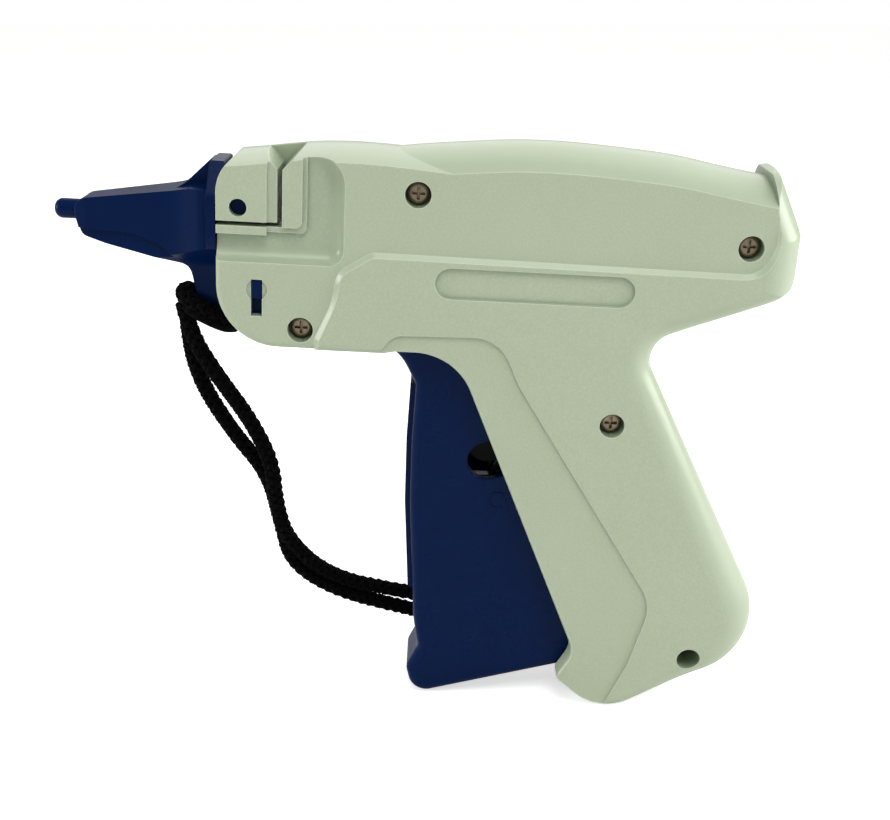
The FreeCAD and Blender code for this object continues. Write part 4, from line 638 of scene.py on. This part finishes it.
    def build(self, yarn: bpy.types.Material) -> None:
        """Make both strands, the hitch round the cap's tab and the knot.

        Args:
            yarn: the cord's finish.
        """
        knot = self.knot()
        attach(knot, "root")
        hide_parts("strap_knot")
        hitch = self.hitch()
        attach(hitch, "cap_group")
        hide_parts("strap_hitch")
        pieces = [knot, hitch]
        routes = (("front_strand", self.front_route, "strap_front_strand", [hitch, knot]),
                  ("rear_strand", self.rear_route, "strap_rear_strand", []))
        for name, route, node, carried in routes:
            points = self.line(route, False)
            strand = self.braid(name, points, False)
            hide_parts(node)
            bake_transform(strand)
            pieces.append(strand)
        for piece in pieces:
            dress(piece, yarn)


@dataclass
class TriggerMark:
    """The small raised ring that the trigger's mould leaves on its side."""

    centre: tuple[float, float, float] = (0.01665, -0.00795, 0.05226)
    radius: float = 2.1 * MM
    band: float = 0.42 * MM
    rise: float = 0.22 * MM
    dish_share: float = 0.8
    soft_edge: float = 0.08 * MM
    sides: int = 48
    facing_left: float = -0.9

    def build(self, finish: bpy.types.Material) -> None:
        """Raise the ring: a disc, its middle inset and pushed back down, its edges bevelled.

        Args:
            finish: the trigger's own plastic.
        """
        bpy.ops.object.select_all(action="DESELECT")
        bpy.ops.mesh.primitive_cylinder_add(vertices=self.sides, radius=self.radius, depth=2 * self.rise,
                                            location=self.centre, rotation=(math.pi / 2, 0.0, 0.0))
        ring = bpy.context.object
        ring.name = "trigger_ring_mark"
        bpy.ops.object.transform_apply(location=True, rotation=True, scale=True)
        bpy.ops.object.mode_set(mode="EDIT")
        bpy.ops.mesh.select_all(action="DESELECT")
        mesh = bmesh.from_edit_mesh(ring.data)
        for face in mesh.faces:
            face.select = face.normal.y < self.facing_left
        bmesh.update_edit_mesh(ring.data)
        bpy.ops.mesh.inset(thickness=self.band, depth=0.0)
        dish = (0.0, self.rise * self.dish_share, 0.0)
        bpy.ops.mesh.extrude_region_move(TRANSFORM_OT_translate={"value": dish})
        bpy.ops.object.mode_set(mode="OBJECT")
        bevel = ring.modifiers.new("soft edges", "BEVEL")
        bevel.width = self.soft_edge
        bevel.segments = 2
        only_selected(ring)
        bpy.ops.object.modifier_apply(modifier=bevel.name)
        dress(ring, finish)
        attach(ring, "trigger_group")


@dataclass
class Springs:
    """The two coil springs that change length."""

    anchor: tuple[float, float, float] = (0.05894, 0.0047, 0.10113)
    peg: tuple[float, float, float] = (0.03627, 0.0047, 0.08674)
    pressed_share: float = 0.455
    merge_distance: float = 0.001 * MM

    def copy_of(self, node: str, name: str) -> bpy.types.Object:
        """Copy a carried node's mesh, merged, as a piece of its own.

        Args:
            node: the node that the copy replaces.
            name: the new piece's name.

        Returns:
            The copy.
        """
        piece = bpy.data.objects.new(name, frame["nodes"][node].data.copy())
        bpy.context.collection.objects.link(piece)
        only_selected(piece)
        bpy.ops.object.mode_set(mode="EDIT")
        bpy.ops.mesh.select_all(action="SELECT")
        bpy.ops.mesh.remove_doubles(threshold=self.merge_distance)
        bpy.ops.object.mode_set(mode="OBJECT")
        bpy.ops.object.shade_smooth()
        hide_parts(node)
        return piece

    def build(self, finish: bpy.types.Material) -> None:
        """Make both springs: the return spring stays where it is, the latch spring is attached to the root.

        Args:
            finish: drawn spring wire.
        """
        pull = self.copy_of("return_spring", "return_spring_wire")
        dress(pull, finish)
        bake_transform(pull)
        push = self.copy_of("latch_spring", "latch_spring_wire")
        dress(push, finish)
        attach(push, "root")
        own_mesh(push)


@dataclass
class Studio:
    """The white table, the light and the camera at the photograph's angle."""

    camera_place: tuple[float, float, float] = (0.004517, -0.278, 0.172905)
    camera_pitch: float = math.radians(70.0)
    focal_length: float = 51.13
    sensor_width: float = 36.0
    aim_point: tuple[float, float, float] = (0.0, 0.0, 0.06)
    table_colour: str = "F0F0EF"
    table_roughness: float = 0.75
    floor_size: float = 6.0
    lift_to_white: float = 0.62
    room_light: float = 0.42
    lamps: list = field(default_factory=lambda: [
        ("key", (0.12, -0.38, 0.8), 0.45, 3.2),
        ("left", (-0.7, -0.08, 0.25), 0.25, 2.0),
        ("right", (0.65, -0.02, 0.25), 0.4, 2.9),
        ("back", (0.1, 0.6, 0.6), 0.8, 2.2),
    ])

    def floor(self) -> None:
        """Lay the white table: it keeps the object's shadow and goes plain white where it is lit."""
        bpy.ops.mesh.primitive_plane_add(size=self.floor_size)
        table = bpy.context.object
        table.name = "table"
        material, shader = new_material("white table")
        shader.inputs["Base Color"].default_value = linear(self.table_colour)
        shader.inputs["Roughness"].default_value = self.table_roughness
        shader.inputs["Emission Color"].default_value = (1.0, 1.0, 1.0, 1.0)
        rays = add_node(material, "ShaderNodeLightPath", {}, {})
        glow = add_node(material, "ShaderNodeMath", {"operation": "MULTIPLY"},
                        {"Value": rays.outputs["Is Camera Ray"]})
        glow.inputs[1].default_value = self.lift_to_white
        material.node_tree.links.new(glow.outputs["Value"], shader.inputs["Emission Strength"])
        dress(table, material)

    def world(self) -> None:
        """Light everything evenly, and show plain white behind."""
        world = bpy.data.worlds.new("white room")
        bpy.context.scene.world = world
        world.use_nodes = True
        nodes = world.node_tree.nodes
        links = world.node_tree.links
        rays = nodes.new("ShaderNodeLightPath")
        strength = nodes.new("ShaderNodeMapRange")
        strength.inputs["To Min"].default_value = self.room_light
        strength.inputs["To Max"].default_value = 1.0
        links.new(rays.outputs["Is Camera Ray"], strength.inputs["Value"])
        nodes["Background"].inputs["Color"].default_value = (1.0, 1.0, 1.0, 1.0)
        links.new(strength.outputs["Result"], nodes["Background"].inputs["Strength"])

    def lights(self) -> None:
        """Hang the soft lamps, each aimed at the middle of the gun."""
        for name, spot, size, power in self.lamps:
            lamp = bpy.data.lights.new(name, "AREA")
            lamp.size = size
            lamp.energy = power
            holder = bpy.data.objects.new(name, lamp)
            bpy.context.collection.objects.link(holder)
            holder.location = spot
            aim = Vector(self.aim_point) - Vector(spot)
            holder.rotation_euler = aim.to_track_quat("-Z", "Y").to_euler()

    def camera(self) -> None:
        """Set the camera where the photograph was taken from."""
        lens = bpy.data.cameras.new("camera")
        lens.sensor_width = self.sensor_width
        lens.lens = self.focal_length
        holder = bpy.data.objects.new("camera", lens)
        bpy.context.collection.objects.link(holder)
        holder.location = self.camera_place
        holder.rotation_euler = (self.camera_pitch, 0.0, 0.0)
        bpy.context.scene.camera = holder

    def build(self) -> None:
        """Set up the whole studio."""
        self.floor()
        self.world()
        self.lights()
        self.camera()
        bpy.context.scene.view_settings.view_transform = "Standard"


NAVY = PolishedPlastic("navy polished ABS", "011B48", "01173D", 0.27, 0.07)
# Black lever plastic, dark so that it shows as painted shade behind the trigger's notch.
NOTCH_SHADE_NYLON = PolishedPlastic("black glass-filled nylon", "020203", "060607", 0.5, 0.1)
NATURAL_ACETAL = PolishedPlastic("natural acetal", "E9E8E2", "E2E1DA", 0.4)
BRIGHT_STEEL = TurnedSteel("bright ground steel", "B9B9BA", "A4A4A6", 0.3)
SPRING_WIRE = TurnedSteel("drawn spring steel", "9C9C9F", "86868A", 0.35)
BRONZED_STEEL = TurnedSteel("bronzed screw steel", "8A7C68", "A2957F", 0.42)


def carried_nodes(finishes: dict[Slot, bpy.types.Material]) -> None:
    """Give every node that came from the solids its finish.

    Args:
        finishes: the material of each slot.
    """
    for part in frame["record"]["subparts"]:
        dress(frame["nodes"][part["node"]], finishes[Slot(part["material_slot"])])
        LOG.info("dressed %s", part["node"])
    # The drive lever is black so that the trigger's notch shows dark: painted shade behind the notch.
    dress(frame["nodes"]["drive_lever"], NOTCH_SHADE_NYLON.build())


def main() -> None:
    """Build the studio and dress the part."""
    logging.basicConfig(level=logging.INFO)
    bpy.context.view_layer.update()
    Studio().build()
    finishes = {
        Slot.HOUSING: GrainedShell().build(),
        Slot.BLUE: NAVY.build(),
        Slot.STEEL: BRIGHT_STEEL.build(),
        Slot.SCREW: BRONZED_STEEL.build(),
        Slot.SPRING: SPRING_WIRE.build(),
        Slot.INNER: NATURAL_ACETAL.build(),
        Slot.CORD: BraidedYarn().build(),
    }
    carried_nodes(finishes)
    Strap().build(finishes[Slot.CORD])
    TriggerMark().build(finishes[Slot.BLUE])
    Springs().build(finishes[Slot.SPRING])


if __name__ == "__main__":
    main()
